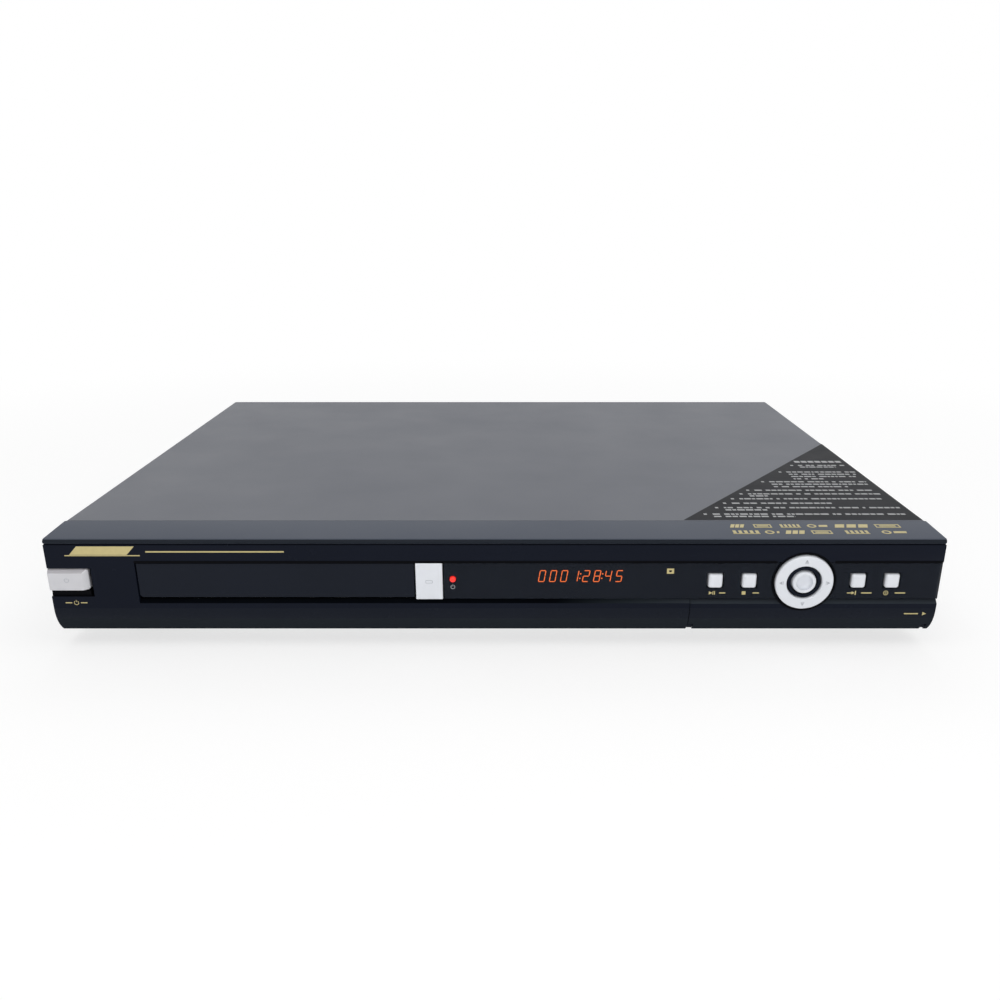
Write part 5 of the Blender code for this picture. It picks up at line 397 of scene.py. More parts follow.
def loft(bm, loops, matrix=None, closed=False):
    """Skins a row of equal loops and caps both ends unless the row closes on itself."""
    rings = []
    for loop in loops:
        points = [Vector(point) for point in loop]
        if matrix:
            points = [matrix @ point for point in points]
        rings.append([bm.verts.new(point) for point in points])
    pairs = list(zip(rings, rings[1:]))
    if closed:
        pairs.append((rings[-1], rings[0]))
    count = len(rings[0])
    for lower, upper in pairs:
        for i in range(count):
            j = (i + 1) % count
            bm.faces.new((lower[i], lower[j], upper[j], upper[i]))
    if not closed:
        bm.faces.new(list(reversed(rings[0])))
        bm.faces.new(rings[-1])


def turn_profile(bm, profile, matrix, count=96, closed=True):
    """Turns radius and height pairs about the matrix's Z axis. A zero radius closes in a point."""
    rings = []
    for radius, height in profile:
        ring = []
        steps = 1 if radius == 0 else count
        for i in range(steps):
            angle = 2 * pi * i / count
            point = Vector((radius * cos(angle), radius * sin(angle), height))
            ring.append(bm.verts.new(matrix @ point))
        rings.append(ring)
    pairs = list(zip(rings, rings[1:]))
    if closed:
        pairs.append((rings[-1], rings[0]))
    for lower, upper in pairs:
        if len(lower) == 1 and len(upper) == 1:
            continue
        for i in range(count):
            j = (i + 1) % count
            corners = [lower[i % len(lower)], lower[j % len(lower)], upper[j % len(upper)], upper[i % len(upper)]]
            bm.faces.new(list(dict.fromkeys(corners)))


def block(bm, low, high, matrix=None):
    corners = [(low[0], low[1]), (high[0], low[1]), (high[0], high[1]), (low[0], high[1])]
    loft(bm, [[(x, y, level) for x, y in corners] for level in (low[2], high[2])], matrix)


def rounded_rect(width, height, radius, steps=6):
    """Points round a rounded rectangle centred on the origin."""
    points = []
    for across, up, start in ((1, -1, -90), (1, 1, 0), (-1, 1, 90), (-1, -1, 180)):
        for i in range(steps + 1):
            angle = radians(start + 90 * i / steps)
            x = across * (width / 2 - radius) + radius * cos(angle)
            points.append((x, up * (height / 2 - radius) + radius * sin(angle)))
    return points


def along_face(points, x, drop, depth):
    """Places flat points on the leaning face at a depth into it."""
    return [(x + across, depth, face_up(drop) + up) for across, up in points]


def inward_matrix(x, drop, depth=0):
    """Z runs out of the leaning face at the place."""
    place = at(x, depth, face_up(drop))
    return face_matrix() @ place @ turned(90, "X")


def printed(bm, outline, matrix, height=PRINT):
    """A thin printed shape. The outline is flat, the matrix puts Z out of the surface."""
    loops = [[(x, y, level) for x, y in outline] for level in (-PRINT, height)]
    loft(bm, loops, matrix)


def frame_shape(bm, outer, inner, matrix, height=PRINT):
    """A printed frame between two outlines with the same number of points."""
    loops = []
    for outline, level in ((outer, -PRINT), (outer, height), (inner, height), (inner, -PRINT)):
        loops.append([(x, y, level) for x, y in outline])
    loft(bm, loops, matrix, closed=True)


def regular(count, radius, start=0.0, squash=1.0):
    turns = [start + 2 * pi * i / count for i in range(count)]
    return [(radius * cos(a), squash * radius * sin(a)) for a in turns]


def shifted(outline, across, up):
    return [(x + across, y + up) for x, y in outline]


def bar(width, height, slant=0.0):
    """Corners of a bar whose upper edge leans to the right."""
    x, y = width / 2, height / 2
    lean = slant * y
    return [(-x - lean, -y), (x - lean, -y), (x + lean, y), (-x + lean, y)]


def printed_ring(bm, outer, inner, matrix, height=PRINT, count=32):
    profile = [(inner, -PRINT), (outer, -PRINT), (outer, height), (inner, height)]
    turn_profile(bm, profile, matrix, count)


# Case and front


def make_cover():
    refine("top_cover", 0.0003, 3)
    refine("rear_panel", 0.0001, 1)
    refine("base_pan", 0.0003, 2)
    trim = refine("top_trim", 0.0003, 3)
    # Faces of the trim's nose that turn down are painted darker: painted shade
    paint_faces(trim, NOSE, lambda normal, centre: normal.y < -0.6)
    panel = refine("front_panel", 0.00025, 2)
    # The ledge under the windows gets painted shade and reflection: black under the tray, grey towards the right
    paint_faces(panel, LEDGE_PAINTED_SHADE, on_ledge)
    # The shelf of the recess below the standby button is painted near black: painted shade
    paint_faces(panel, PAINTED_SHADE_BLACK, lambda normal, centre: centre.x < -0.19 and 0.0265 < centre.z < 0.0295)
    paint_lower_painted_light(panel)
    refine("display_window", 0.00025, 2)
    refine("button_window", 0.00025, 2)
    refine("tray_door", 0.0003, 3)
    flap = refine("flap_door", 0.00025, 2)
    # The flap's part of the ledge gets the same painted shade and reflection
    paint_faces(flap, LEDGE_PAINTED_SHADE, on_ledge)
    paint_lower_painted_light(flap)


def on_ledge(normal, centre):
    return normal.z > 0.5 and 0.024 < centre.z < 0.027


def paint_lower_painted_light(piece):
    """Painted light on the curved lower part of the front: faces that turn down get lighter copies of the black
    moulding, and the underside a painted reflection.
    """
    paint_faces(piece, CURVE_PAINTED_LIGHT, lambda normal, centre: -0.4 < normal.z < -0.11 and centre.z < 0.024)
    paint_faces(piece, UNDERSIDE_PAINTED_REFLECTION, lambda normal, centre: normal.y < -0.5 and normal.z <= -0.4)


def make_front_painted_shade():
    """Near-black pieces that stand in for shade: a painted shadow strip over the windows, a painted shade collar
    round the dial and the blind end of the corner recess.
    """
    bm = bmesh.new()
    top, low = face_up(0.0123), face_up(0.0135)
    for start, end in ((-0.1728, 0.1352), (0.163, 0.2146)):
        outline = ((start, top), (end, top), (end, low), (start, low))
        loft(bm, [[(x, depth, z) for x, z in outline] for depth in (-PRINT * 2, 0.0006)], face_matrix())
    collar = [(0.01455, -0.0012), (0.01455, 0.0001), (0.0147, 0.0002), (0.0154, 0.0002), (0.0155, 0),
              (0.0155, -0.0012)]
    turn_profile(bm, collar, inward_matrix(DIAL_X, DIAL_DROP), 96)
    block(bm, (-0.2149, -0.1742, 0.0282), (-0.196, -0.1672, 0.0312))
    to_object("front_painted_shade", bm, PAINTED_SHADE_BLACK)


def function_outline(margin, radius):
    return rounded_rect(0.0069 - margin * 2, 0.0074 - margin * 2, radius)


def make_function_buttons():
    rows = ((0.0013, 0.0006, -0.00075), (0.00095, 0.0008, -0.00072), (0.00035, 0.001, -0.00022),
            (0.0001, 0.0011, 0.0003), (0, 0.0011, 0.0009), (0, 0.0011, 0.005))
    for number, offset in enumerate(BUTTON_OFFSETS, 1):
        x = DIAL_X + offset
        node = f"function_button_{number}"
        bm = bmesh.new()
        loft(bm, [along_face(function_outline(margin, radius), x, BUTTON_DROP, depth)
                  for margin, radius, depth in rows], face_matrix())
        flange = rounded_rect(0.009, 0.0095, 0.0008)
        loft(bm, [along_face(flange, x, BUTTON_DROP, depth) for depth in (0.00495, 0.0061)], face_matrix())
        add_stem(bm, inward_matrix(x, BUTTON_DROP), -0.006)
        to_object(f"{node}_cap", bm, SILVER, BODY_OF[node], stands_for=node)


def add_stem(bm, place, start):
    """The round stem that reaches from a button to its switch."""
    profile = [(0.0016, start), (0.0016, -0.0122), (0.0013, -0.0125), (0, -0.0125), (0, start)]
    turn_profile(bm, profile, place, 24, closed=False)


def make_dial_ring():
    """The rocking ring with a soft outer roll, and the lugs behind it."""
    front, rear = 0.0014, -0.0016
    outer, inner = 0.014, 0.0085
    ring = [(inner, rear), (inner, front - 0.0007), (inner + 0.0002, front - 0.0003), (inner + 0.0006, front),
            (outer - 0.0009, front), (outer - 0.00045, front - 0.0001), (outer - 0.00015, front - 0.00035),
            (outer, front - 0.0008), (outer, rear)]
    bm = bmesh.new()
    turn_profile(bm, ring, inward_matrix(DIAL_X, DIAL_DROP), 128)
    for side in (-1, 1):
        ends = sorted((side * 0.0119, side * 0.0134))
        block(bm, (-0.0015, ends[0], -0.0043), (0.0015, ends[1], rear + 0.0002), inward_matrix(DIAL_X, DIAL_DROP))
    to_object("dial_ring_rim", bm, SILVER, BODY_OF["dial_ring"], stands_for="dial_ring")
    marks = bmesh.new()
    for quarter in range(4):
        angle = radians(90 * quarter)
        turn = Matrix.Rotation(angle, 4, "Z")
        place = inward_matrix(DIAL_X, DIAL_DROP) @ turn @ at(0, 0.0113, front)
        printed(marks, regular(3, 0.001, radians(90)), place)
        printed(marks, shifted(bar(0.0018, 0.00025), 0, -0.00095), place)
    to_object("dial_ring_marks", marks, GREY_INK, BODY_OF["dial_ring"], smooth=False)


def make_dial_button():
    """The centre button with its round hollow."""
    rim = 0.0014
    profile = [(0, -0.0011), (0.0022, -0.001), (0.0032, -0.0007), (0.0037, -0.0002), (0.0039, 0.0006),
               (0.004, rim), (0.0042, rim + 0.0001), (0.0048, rim + 0.0001), (0.0052, rim - 0.0001),
               (0.0055, rim - 0.0004), (0.0057, rim - 0.0009), (0.0058, -0.0006), (0.00605, -0.0012),
               (0.00605, -0.0046), (0.002, -0.0046), (0.002, -0.0124), (0, -0.0124)]
    bm = bmesh.new()
    turn_profile(bm, profile, inward_matrix(DIAL_X, DIAL_DROP), 96, closed=False)
    to_object("dial_button_cap", bm, SILVER, BODY_OF["dial_button"], stands_for="dial_button")


def make_eject_button():
    refine("eject_button", 0.0004, 3)
    marks = bmesh.new()
    place = inward_matrix(-0.0317, 0.0232, -0.0002)
    frame_shape(marks, rounded_rect(0.0034, 0.0016, 0.0003, 3), rounded_rect(0.0029, 0.0011, 0.0002, 3), place)
    to_object("eject_mark", marks, GREY_INK, BODY_OF["eject_button"], smooth=False)


def standby_outline(margin_right, margin_top, margin_bottom, radius, steps=6):
    """Half-rounded outline: the right corners are round, the left end meets the side of the case."""
    left = -HALF_WIDTH
    right = left + 0.0192 - margin_right
    low = -0.0056 + margin_bottom
    high = 0.0056 - margin_top
    points = [(left, low)]
    for level, start in ((low + radius, -90), (high - radius, 0)):
        for i in range(steps + 1):
            angle = radians(start + 90 * i / steps)
            points.append((right - radius + radius * cos(angle), level + radius * sin(angle)))
    points.append((left, high))
    return points


def make_standby_button():
    bm = bmesh.new()
    level = face_up(STANDBY_DROP)
    rows = ((0.0029, 0.0022, 0.0003, 0.0003, -0.00068), (0.0027, 0.002, 0.0002, 0.0004, -0.00062),
            (0.0003, 0.0002, 0.0001, 0.0013, 0.0006), (0, 0, 0, 0.0014, 0.001), (0, 0, 0, 0.0014, 0.003))
    loft(bm, [[(x, depth, level + z) for x, z in standby_outline(*margins)] for *margins, depth in rows],
         face_matrix())
    block(bm, (-HALF_WIDTH, 0.0029, level - 0.0053), (-HALF_WIDTH + 0.0018, 0.0062, level + 0.0053), face_matrix())
    add_stem(bm, inward_matrix(-0.205, STANDBY_DROP), -0.0029)
    piece = to_object("standby_button_cap", bm, SATIN_SILVER, BODY_OF["standby_button"],
                      stands_for="standby_button")
    # The upward-facing bevel of the button is painted darker: painted shade
    paint_faces(piece, SILVER_TOP_PAINTED_SHADE, lambda normal, centre: normal.z > 0.35 and centre.y < FRONT_Y + 0.004)
    mark = bmesh.new()
    power_symbol(mark, inward_matrix(-0.2062, STANDBY_DROP, -0.0007), 0.0012)
    to_object("standby_mark", mark, GREY_INK, BODY_OF["standby_button"], smooth=False)


def power_symbol(bm, place, radius):
    """An open ring with an upright bar."""
    steps = 18
    outer, inner = [], []
    for i in range(steps + 1):
        angle = radians(125 + 290 * i / steps)
        outer.append((radius * cos(angle), radius * sin(angle)))
        inner.append((radius * 0.78 * cos(angle), radius * 0.78 * sin(angle)))
    printed(bm, outer + list(reversed(inner)), place)
    printed(bm, shifted(bar(radius * 0.22, radius * 0.9), 0, radius * 0.75), place)


# Printed marks and the readout


def make_front_marks():
    """Gold and pale printing on the front: bars and plain symbols only."""
    gold = bmesh.new()
    band = inward_matrix(0, 0.0072)
    printed(gold, shifted(bar(0.0275, 0.0044, 0.9), -0.1874, 0.0003), band)
    printed(gold, shifted(bar(0.036, 0.0005), -0.1874, -0.0023), band)
    printed(gold, shifted(bar(0.066, 0.0007), -0.1335, -0.0003), band)
    standby = inward_matrix(-0.2035, 0.0345)
    power_symbol(gold, standby, 0.0012)
    for side in (-1, 1):
        printed(gold, shifted(bar(0.0032, 0.0005), side * 0.0037, 0), standby)
    for number, offset in enumerate(BUTTON_OFFSETS):
        x = DIAL_X + offset
        place = inward_matrix(x, 0.0294, WINDOW_DEPTH)
        rule = 0.003 if number < 2 else 0.005
        printed(gold, shifted(bar(rule, 0.0006), 0.0022 + rule / 2, 0), place)
        place = place @ at(-0.0022, 0, 0)
        if number == 0:
            printed(gold, regular(3, 0.0011), place)
            printed(gold, shifted(bar(0.0004, 0.0019), 0.0014, 0), place)
            printed(gold, shifted(bar(0.0004, 0.0019), 0.0022, 0), place)
        elif number == 1:
            printed(gold, bar(0.0018, 0.0018), place)
        elif number == 2:
            printed(gold, shifted(bar(0.0022, 0.0005), -0.0014, 0), place)
            printed(gold, shifted(regular(3, 0.001), 0.0002, 0), place)
            printed(gold, shifted(bar(0.0005, 0.0022), 0.0016, 0), place)
        else:
            printed_ring(gold, 0.0012, 0.0009, place)
            printed_ring(gold, 0.0004, 0.0002, place)
    to_object("front_marks", gold, GOLD, smooth=False)
    pale = bmesh.new()
    place = inward_matrix(LIGHT_X, 0.0262, WINDOW_DEPTH)
    power_symbol(pale, place, 0.0011)
    to_object("light_mark", pale, PALE_INK, smooth=False)


def make_port_square():
    """A plain framed square right of the readout."""
    bm = bmesh.new()
    place = inward_matrix(0.0845, 0.0178, WINDOW_DEPTH)
    frame_shape(bm, bar(0.0034, 0.0027), bar(0.0013, 0.001), place)
    to_object("window_emblem", bm, GOLD, smooth=False)


SEGMENTS = {
    "a": (0, 1, True), "b": (0.5, 0.5, False), "c": (0.5, -0.5, False), "d": (0, -1, True),
    "e": (-0.5, -0.5, False), "f": (-0.5, 0.5, False), "g": (0, 0, True),
}
DIGITS = {"0": "abcdef", "1": "bc", "2": "abged", "4": "fgbc", "5": "afgcd", "8": "abcdefg"}


def make_readout():
    """Slanted segment digits lit behind the smoked window, with one pair of dots."""
    width = 0.0027
    height = 0.0029
    stroke = 0.00042
    slant = 0.16
    depth = 0.00035
    bm = bmesh.new()
    for number, digit in enumerate("00012845"):
        x = DIGIT_X + number * DIGIT_PITCH
        for key in DIGITS[digit]:
            across, up, level = SEGMENTS[key]
            size = (width - stroke * 0.6, stroke) if level else (stroke, height - stroke * 0.9)
            outline = shifted(bar(*size, slant), across * width + slant * up * height, up * height)
            printed(bm, outline, inward_matrix(x, DIGIT_DROP, depth))
    for number in (3, 5):
        for up in (-1, 1):
            x = DIGIT_X + (number + 0.5) * DIGIT_PITCH
            dot = shifted(bar(0.0006, 0.0006), slant * up * 0.0012, up * 0.0012)
            printed(bm, dot, inward_matrix(x - 0.0002, DIGIT_DROP, depth))
    to_object("readout", bm, ORANGE, smooth=False)


def make_flap_mark():
    """A plain arrow with a bar on the curved face of the flap."""
    gold = bmesh.new()
    drop = 0.0405
    centre_depth = face_depth(BEND_DROP) + BEND_RADIUS * cos(FACE_LEAN)
    centre_drop = BEND_DROP - BEND_RADIUS * sin(FACE_LEAN)
    angle = asin((drop - centre_drop) / BEND_RADIUS)
    depth = centre_depth - BEND_RADIUS * cos(angle)
    place = at(0.2094, FRONT_Y + depth, TOP_LEVEL - drop)
    place = place @ Matrix.Rotation(pi / 2 + angle, 4, "X")
    printed(gold, regular(3, 0.0012), place, PRINT * 2)
    printed(gold, shifted(bar(0.0068, 0.0006), -0.0061, 0), place, PRINT * 2)
    to_object("flap_mark", gold, GOLD, "flap", smooth=False)


FILM_CORNERS = ((0.0944, -0.1503), (0.2137, -0.1503), (0.2143, 0.0192))
FILM_GROUPS = (
    (-0.0393, (0.2103, 0.2039)), (-0.0552, (0.2117, 0.2114, 0.2088, 0.1883)), (-0.0774, (0.2105, 0.2097, 0.1968)),
    (-0.0953, (0.2086,)), (-0.1028, (0.2098, 0.149)), (-0.1124, (0.2087,)), (-0.1208, (0.1787,)),
    (-0.1291, (0.2103, 0.141)), (-0.1406, (0.2092, 0.1517)),
)
FILM_LINE = 0.0052
FILM_CLOSE_LINE = 0.004
DASH = 0.002


def film_left(y):
    """Where the slanting edge of the film is."""
    (left, front), _, (right, rear) = FILM_CORNERS
    return left + (right - left) * (y - front) / (rear - front)


def make_cover_film():
    """A dark three-cornered film on the cover, with groups of broken pale rules."""
    bm = bmesh.new()
    loft(bm, [[(x, y, TOP_LEVEL + level) for x, y in FILM_CORNERS] for level in (-PRINT, PRINT * 2)])
    to_object("cover_film", bm, FILM, smooth=False)
    rules = bmesh.new()
    draw = random.Random(11)

    def dash(start, end, y, height):
        block(rules, (start, y - height / 2, TOP_LEVEL), (end, y + height / 2, TOP_LEVEL + PRINT * 3))

    for start in (0.1825 + number * 0.0042 for number in range(7)):
        dash(start, start + 0.0033, -0.0302, 0.004)
    for y, ends in FILM_GROUPS:
        left = film_left(y)
        dash(left + 0.0048, left + 0.0064, y, DASH)
        pitch = FILM_LINE if len(ends) > 2 else FILM_CLOSE_LINE
        for row, end in enumerate(ends):
            x = left + 0.0094
            while x < end:
                width = draw.uniform(0.0012, 0.0042)
                dash(x, min(x + width, end), y - row * pitch, DASH)
                x += width + draw.choice((0.0006, 0.0006, 0.0008, 0.0022))
    to_object("film_rules", rules, PALE_INK, smooth=False)


BAND_ROWS = (
    (-0.1593, ((0.1156, 0.1225), (0.1272, 0.1358), (0.1401, 0.15), (0.1534, 0.1636), (0.1667, 0.1836),
               (0.1869, 0.199))),
    (-0.1681, ((0.115, 0.128), (0.1306, 0.1378), (0.1405, 0.15), (0.1533, 0.163), (0.1695, 0.1809),
               (0.1871, 0.1993))),
)
BAND_MARK = 0.0046


def band_mark(bm, place, kind, width, height):
    """One plain shape of the gold rows: slanted bars, a framed bar, upright bars, or a ring and a bar."""
    proud = PRINT * 2
    if kind == 0:
        for i in (-1, 0, 1):
            printed(bm, shifted(bar(width * 0.27, height, 0.3), i * width * 0.34, 0), place, proud)
    elif kind == 1:
        frame_shape(bm, bar(width, height), bar(width - 0.0012, height - 0.0016), place, proud)
        printed(bm, bar(width * 0.66, height * 0.3), place, proud)
    elif kind == 2:
        for i in range(5):
            outline = shifted(bar(width * 0.12, height * 0.8), (i - 2) * width * 0.21, height * 0.1)
            printed(bm, outline, place, proud)
        printed(bm, shifted(bar(width, height * 0.12), 0, -height * 0.44), place, proud)
    else:
        ring = place @ at((height - width) / 2, 0, 0)
        printed_ring(bm, height * 0.5, height * 0.3, ring, proud, 24)
        printed(bm, shifted(bar(width - height * 1.3, height * 0.55, 0.2), height * 0.6, 0), place, proud)


def make_band_marks():
    """Two rows of plain gold shapes on the trim band."""
    bm = bmesh.new()
    for row, (y, spans) in enumerate(BAND_ROWS):
        level = TOP_LEVEL - 0.001 * ((-0.1515 - y) / 0.0245)
        for column, (start, end) in enumerate(spans):
            place = at((start + end) / 2, y, level) @ turned(2.3, "X")
            band_mark(bm, place, (column + row * 2) % 4, end - start, BAND_MARK)
    to_object("band_marks", bm, GOLD, smooth=False)


def make_standby_light():
    """Domed lens of the standby light."""
    refine("standby_light", 0)
    bm = bmesh.new()
    profile = [(0, 0.0005)]
    for i in range(1, 7):
        angle = radians(90 * i / 6)
        profile.append((0.00143 * sin(angle), -0.00005 + 0.00055 * cos(angle)))
    profile += [(0.00143, -0.0004), (0, -0.0004)]
    turn_profile(bm, profile, inward_matrix(LIGHT_X, 0.0221), 32, closed=False)
    to_object("standby_lens", bm, RED_LENS)


# Fasteners


def add_screw(bm, place, radius):
    """A pan-head screw with a cross recess. Z of the matrix runs out of the surface."""
    height = radius * 0.62
    profile = [(radius, -0.0001), (radius, height * 0.35)]
    for i in range(1, 6):
        angle = radians(90 * i / 6)
        profile.append((radius * (0.35 + 0.65 * cos(angle)), height * (0.35 + 0.65 * sin(angle))))
    reach = radius * 0.58
    half = radius * 0.13
    star = []
    for quarter in range(4):
        turn = radians(90 * quarter)
        for x, y in ((half, -half), (reach, -half), (reach, half)):
            star.append((x * cos(turn) - y * sin(turn), x * sin(turn) + y * cos(turn)))
    rings = []
    for ring_radius, level in profile:
        turns = [atan2(y, x) for x, y in star]
        rings.append([(ring_radius * cos(turn), ring_radius * sin(turn), level) for turn in turns])
    for level in (height, height * 0.3):
        rings.append([(x, y, level) for x, y in star])
    loft(bm, rings, place)


def facing(x, y, z, direction):
    """A matrix at a place whose Z runs along the named direction."""
    turns = {
        "+y": turned(-90, "X"), "-y": turned(90, "X"),
        "+x": turned(90, "Y"), "-x": turned(-90, "Y"),
        "+z": Matrix.Identity(4), "-z": turned(180, "X"),
    }
    return at(x, y, z) @ turns[direction]


def make_case_screws():
    bm = bmesh.new()
    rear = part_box("rear_panel")[1].y
    for x in (-0.206, -0.142, -0.07, 0.006, 0.106, 0.206):
        add_screw(bm, facing(x, rear, 0.053, "+y"), 0.0026)
    for x in (-0.206, -0.03, 0.125, 0.206):
        add_screw(bm, facing(x, rear, 0.013, "+y"), 0.0026)
    for side, direction in ((-1, "-x"), (1, "+x")):
        for y in (-0.115, 0.025, 0.145):
            add_screw(bm, facing(side * HALF_WIDTH, y, 0.018, direction), 0.003)
    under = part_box("base_pan")[0][2]
    for x in (-0.15, -0.05, 0.05, 0.15):
        for y in (-0.13, 0.03, 0.145):
            add_screw(bm, facing(x, y, under, "-z"), 0.0026)
    to_object("case_screws", bm, BRIGHT)


def make_feet():
    for node in ("foot_front_left", "foot_front_right", "foot_rear_left", "foot_rear_right"):
        low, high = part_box(node)
        x, y = (low[0] + high[0]) / 2, (low[1] + high[1]) / 2
        bm = bmesh.new()
        profile = [(0.004, 0.0008), (0.004, 0.0003), (0.0043, 0), (0.0118, 0), (0.0122, 0.0003), (0.0122, 0.0006),
                   (0.0126, 0.0006), (0.0126, 0.0003), (0.013, 0), (0.0146, 0), (0.015, 0.0004), (0.0162, 0.0034),
                   (0.0165, 0.0044), (0.0165, 0.007), (0.0162, 0.0077), (0.004, 0.0077)]
        turn_profile(bm, profile, at(x, y, 0), 64)
        to_object(f"{node}_body", bm, RUBBER, stands_for=node)
        screw = bmesh.new()
        add_screw(screw, facing(x, y, 0.0034, "-z"), 0.003)
        block(screw, (x - 0.0012, y - 0.0012, 0.0033), (x + 0.0012, y + 0.0012, 0.0079))
        to_object(f"{node}_screw", screw, BRIGHT)


# Sockets


def make_phonos(name, node, face, tip, places, colours, direction):
    """A row of round sockets: coloured bodies with a hollow contact, each in a nickel sleeve."""
    low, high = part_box(node)
    bm = bmesh.new()
    back, front = (low[1], face) if direction == "+y" else (face, high[1])
    block(bm, (low[0], back, low[2]), (high[0], front, high[2]))
    soften(to_object(f"{name}_body", bm, DARK, stands_for=node), 0.0004)
    reach = abs(tip - face)
    lip = [(0.0034, -0.0062), (0.0042, -0.0062), (0.0042, -0.0004), (0.004, -0.0001), (0.0037, 0),
           (0.0034, -0.0003)]
    contact = [(0.001, -0.005), (0.0017, -0.005), (0.0017, -0.0007), (0.0015, -0.0005), (0.001, -0.0009)]
    base = [(0.0017, -0.0048), (0.0017, -0.0009), (0.0031, -0.0009), (0.0034, -0.0012), (0.0034, -0.006),
            (0.0044, -0.006), (0.0044, -reach), (0.002, -reach), (0.002, -0.0048)]
    sleeves = bmesh.new()
    inserts = {}
    for (x, level), colour in zip(places, colours):
        place = facing(x, tip, level, direction)
        turn_profile(sleeves, lip, place, 32)
        turn_profile(sleeves, contact, place, 20)
        turn_profile(inserts.setdefault(colour, bmesh.new()), base, place, 32)
    to_object(f"{name}_sleeves", sleeves, NICKEL)
    for colour, insert in inserts.items():
        to_object(f"{name}_{colour}", insert, INSERTS[colour])


INSERT_COLOURS = {"yellow": srgb(226, 184, 30), "red": srgb(190, 30, 28), "green": srgb(36, 132, 58),
                  "blue": srgb(36, 70, 160), "orange": srgb(222, 112, 30), "black": (0.022, 0.022, 0.024)}
INSERTS = {name: surface(f"{name}_insert", tone, 0.42, cloud=200) for name, tone in INSERT_COLOURS.items()}
INSERTS["white"] = WHITE
FRONT_COLOURS = ("yellow", "white", "red")
REAR_COLOURS = ("white", "red", "yellow", "white", "red", "yellow", "red", "blue", "green", "orange", "black",
                "yellow")
SOCKET_PITCH = 0.0135


def make_sockets():
    rear = [(0.02225 + SOCKET_PITCH * i, level) for level in (0.03, 0.045) for i in range(6)]
    make_phonos("rear_sockets", "rear_socket_block", 0.1675, REAR_TIP, rear, REAR_COLOURS, "+y")
    front = [(0.176 + SOCKET_PITCH * i, 0.017) for i in range(3)]
    make_phonos("front_sockets", "front_socket_block", -0.1563, -0.1659, front, FRONT_COLOURS, "-y")


def make_aerials():
    """Threaded collars, nuts and white cores on the two aerial sockets."""
    threads = bmesh.new()
    cores = bmesh.new()
    for x in (0.149, 0.175):
        place = facing(x, REAR_TIP, 0.0359, "+y")
        profile = [(0.0046, -0.0094)]
        for turn in range(9):
            level = -0.009 + turn * 0.0009
            profile += [(0.00475, level), (0.005, level + 0.0003), (0.005, level + 0.0005)]
        profile += [(0.0047, -0.0004), (0.0044, 0.0001), (0.0035, 0.0001), (0.0034, -0.0002)]
        turn_profile(threads, profile, place, 40)
        nut = [[(x, y, level) for x, y in regular(6, radius)]
               for radius, level in ((0.0072, -0.0096), (0.0072, -0.0078), (0.0048, -0.0078), (0.0048, -0.0096))]
        loft(threads, nut, place, closed=True)
        core = [(0.0012, -0.0003), (0.0033, -0.0003), (0.0033, 0.0002), (0.003, 0.0003), (0.0014, 0.0003),
                (0.0012, 0.0001)]
        turn_profile(cores, core, place, 32)
    to_object("aerial_threads", threads, NICKEL)
    to_object("aerial_cores", cores, WHITE)


def make_inlet_pins():
    bm = bmesh.new()
    for side in (-1, 1):
        profile = [(0, 0), (0.0007, -0.0001), (0.0011, -0.0006), (0.0012, -0.0012), (0.0012, -0.009), (0, -0.009)]
        turn_profile(bm, profile, facing(-0.185 + side * 0.0043, 0.1676, 0.029, "+y"), 24, closed=False)
    to_object("inlet_pins", bm, NICKEL)


def make_port_tongue():
    """The white tongue and four contacts inside the flat serial port."""
    tongue = bmesh.new()
    block(tongue, (0.10665, -0.1644, 0.0175), (0.11735, -0.1552, 0.019))
    soften(to_object("port_tongue", tongue, WHITE), 0.0002)
    contacts = bmesh.new()
    for i in range(4):
        x = 0.1085 + i * 0.0023
        block(contacts, (x - 0.0005, -0.164, 0.01742), (x + 0.0005, -0.1556, 0.0176))
    to_object("port_contacts", contacts, GOLD)


# Boards

# Square chips: place, side and legs on a side
MAIN_CHIPS = ((0.0475, 0.1031, 0.0281, 16), (0.1038, 0.1011, 0.0221, 12), (0.0835, 0.0766, 0.014, 8),
              (0.1285, 0.0746, 0.014, 8))
# Capacitors: place, radius and height
MAIN_CANS = (
    (-0.012, 0.078, 0.003, 0.009), (-0.012, 0.088, 0.003, 0.009), (-0.002, 0.072, 0.004, 0.011),
    (0.009, 0.072, 0.004, 0.011), (0.02, 0.072, 0.003, 0.009), (0.01, 0.088, 0.005, 0.013),
    (-0.01, 0.118, 0.005, 0.014), (-0.01, 0.132, 0.005, 0.014), (0.005, 0.125, 0.004, 0.011),
    (0.055, 0.14, 0.003, 0.009), (0.07, 0.14, 0.003, 0.009), (0.085, 0.14, 0.003, 0.009),
    (0.105, 0.138, 0.004, 0.011), (0.122, 0.13, 0.004, 0.011), (0.152, 0.072, 0.004, 0.011),
    (0.165, 0.073, 0.005, 0.013), (0.18, 0.072, 0.004, 0.011), (0.192, 0.08, 0.003, 0.009),
    (0.192, 0.092, 0.003, 0.009), (0.178, 0.095, 0.004, 0.011), (0.152, 0.096, 0.003, 0.009),
)
POWER_CANS = (
    (-0.117, 0.062, 0.005, 0.018), (-0.117, 0.075, 0.005, 0.018), (-0.117, 0.088, 0.005, 0.018),
    (-0.117, 0.101, 0.004, 0.014), (-0.095, 0.062, 0.004, 0.014), (-0.082, 0.062, 0.004, 0.014),
    (-0.09, 0.125, 0.005, 0.016), (-0.077, 0.125, 0.005, 0.016), (-0.105, 0.125, 0.004, 0.014),
)
BOARD_SCREWS = ((-0.014, 0.0663), (0.199, 0.0663), (-0.014, 0.1563), (0.199, 0.1563), (-0.197, 0.0503),
                (-0.066, 0.0503), (-0.066, 0.1223))


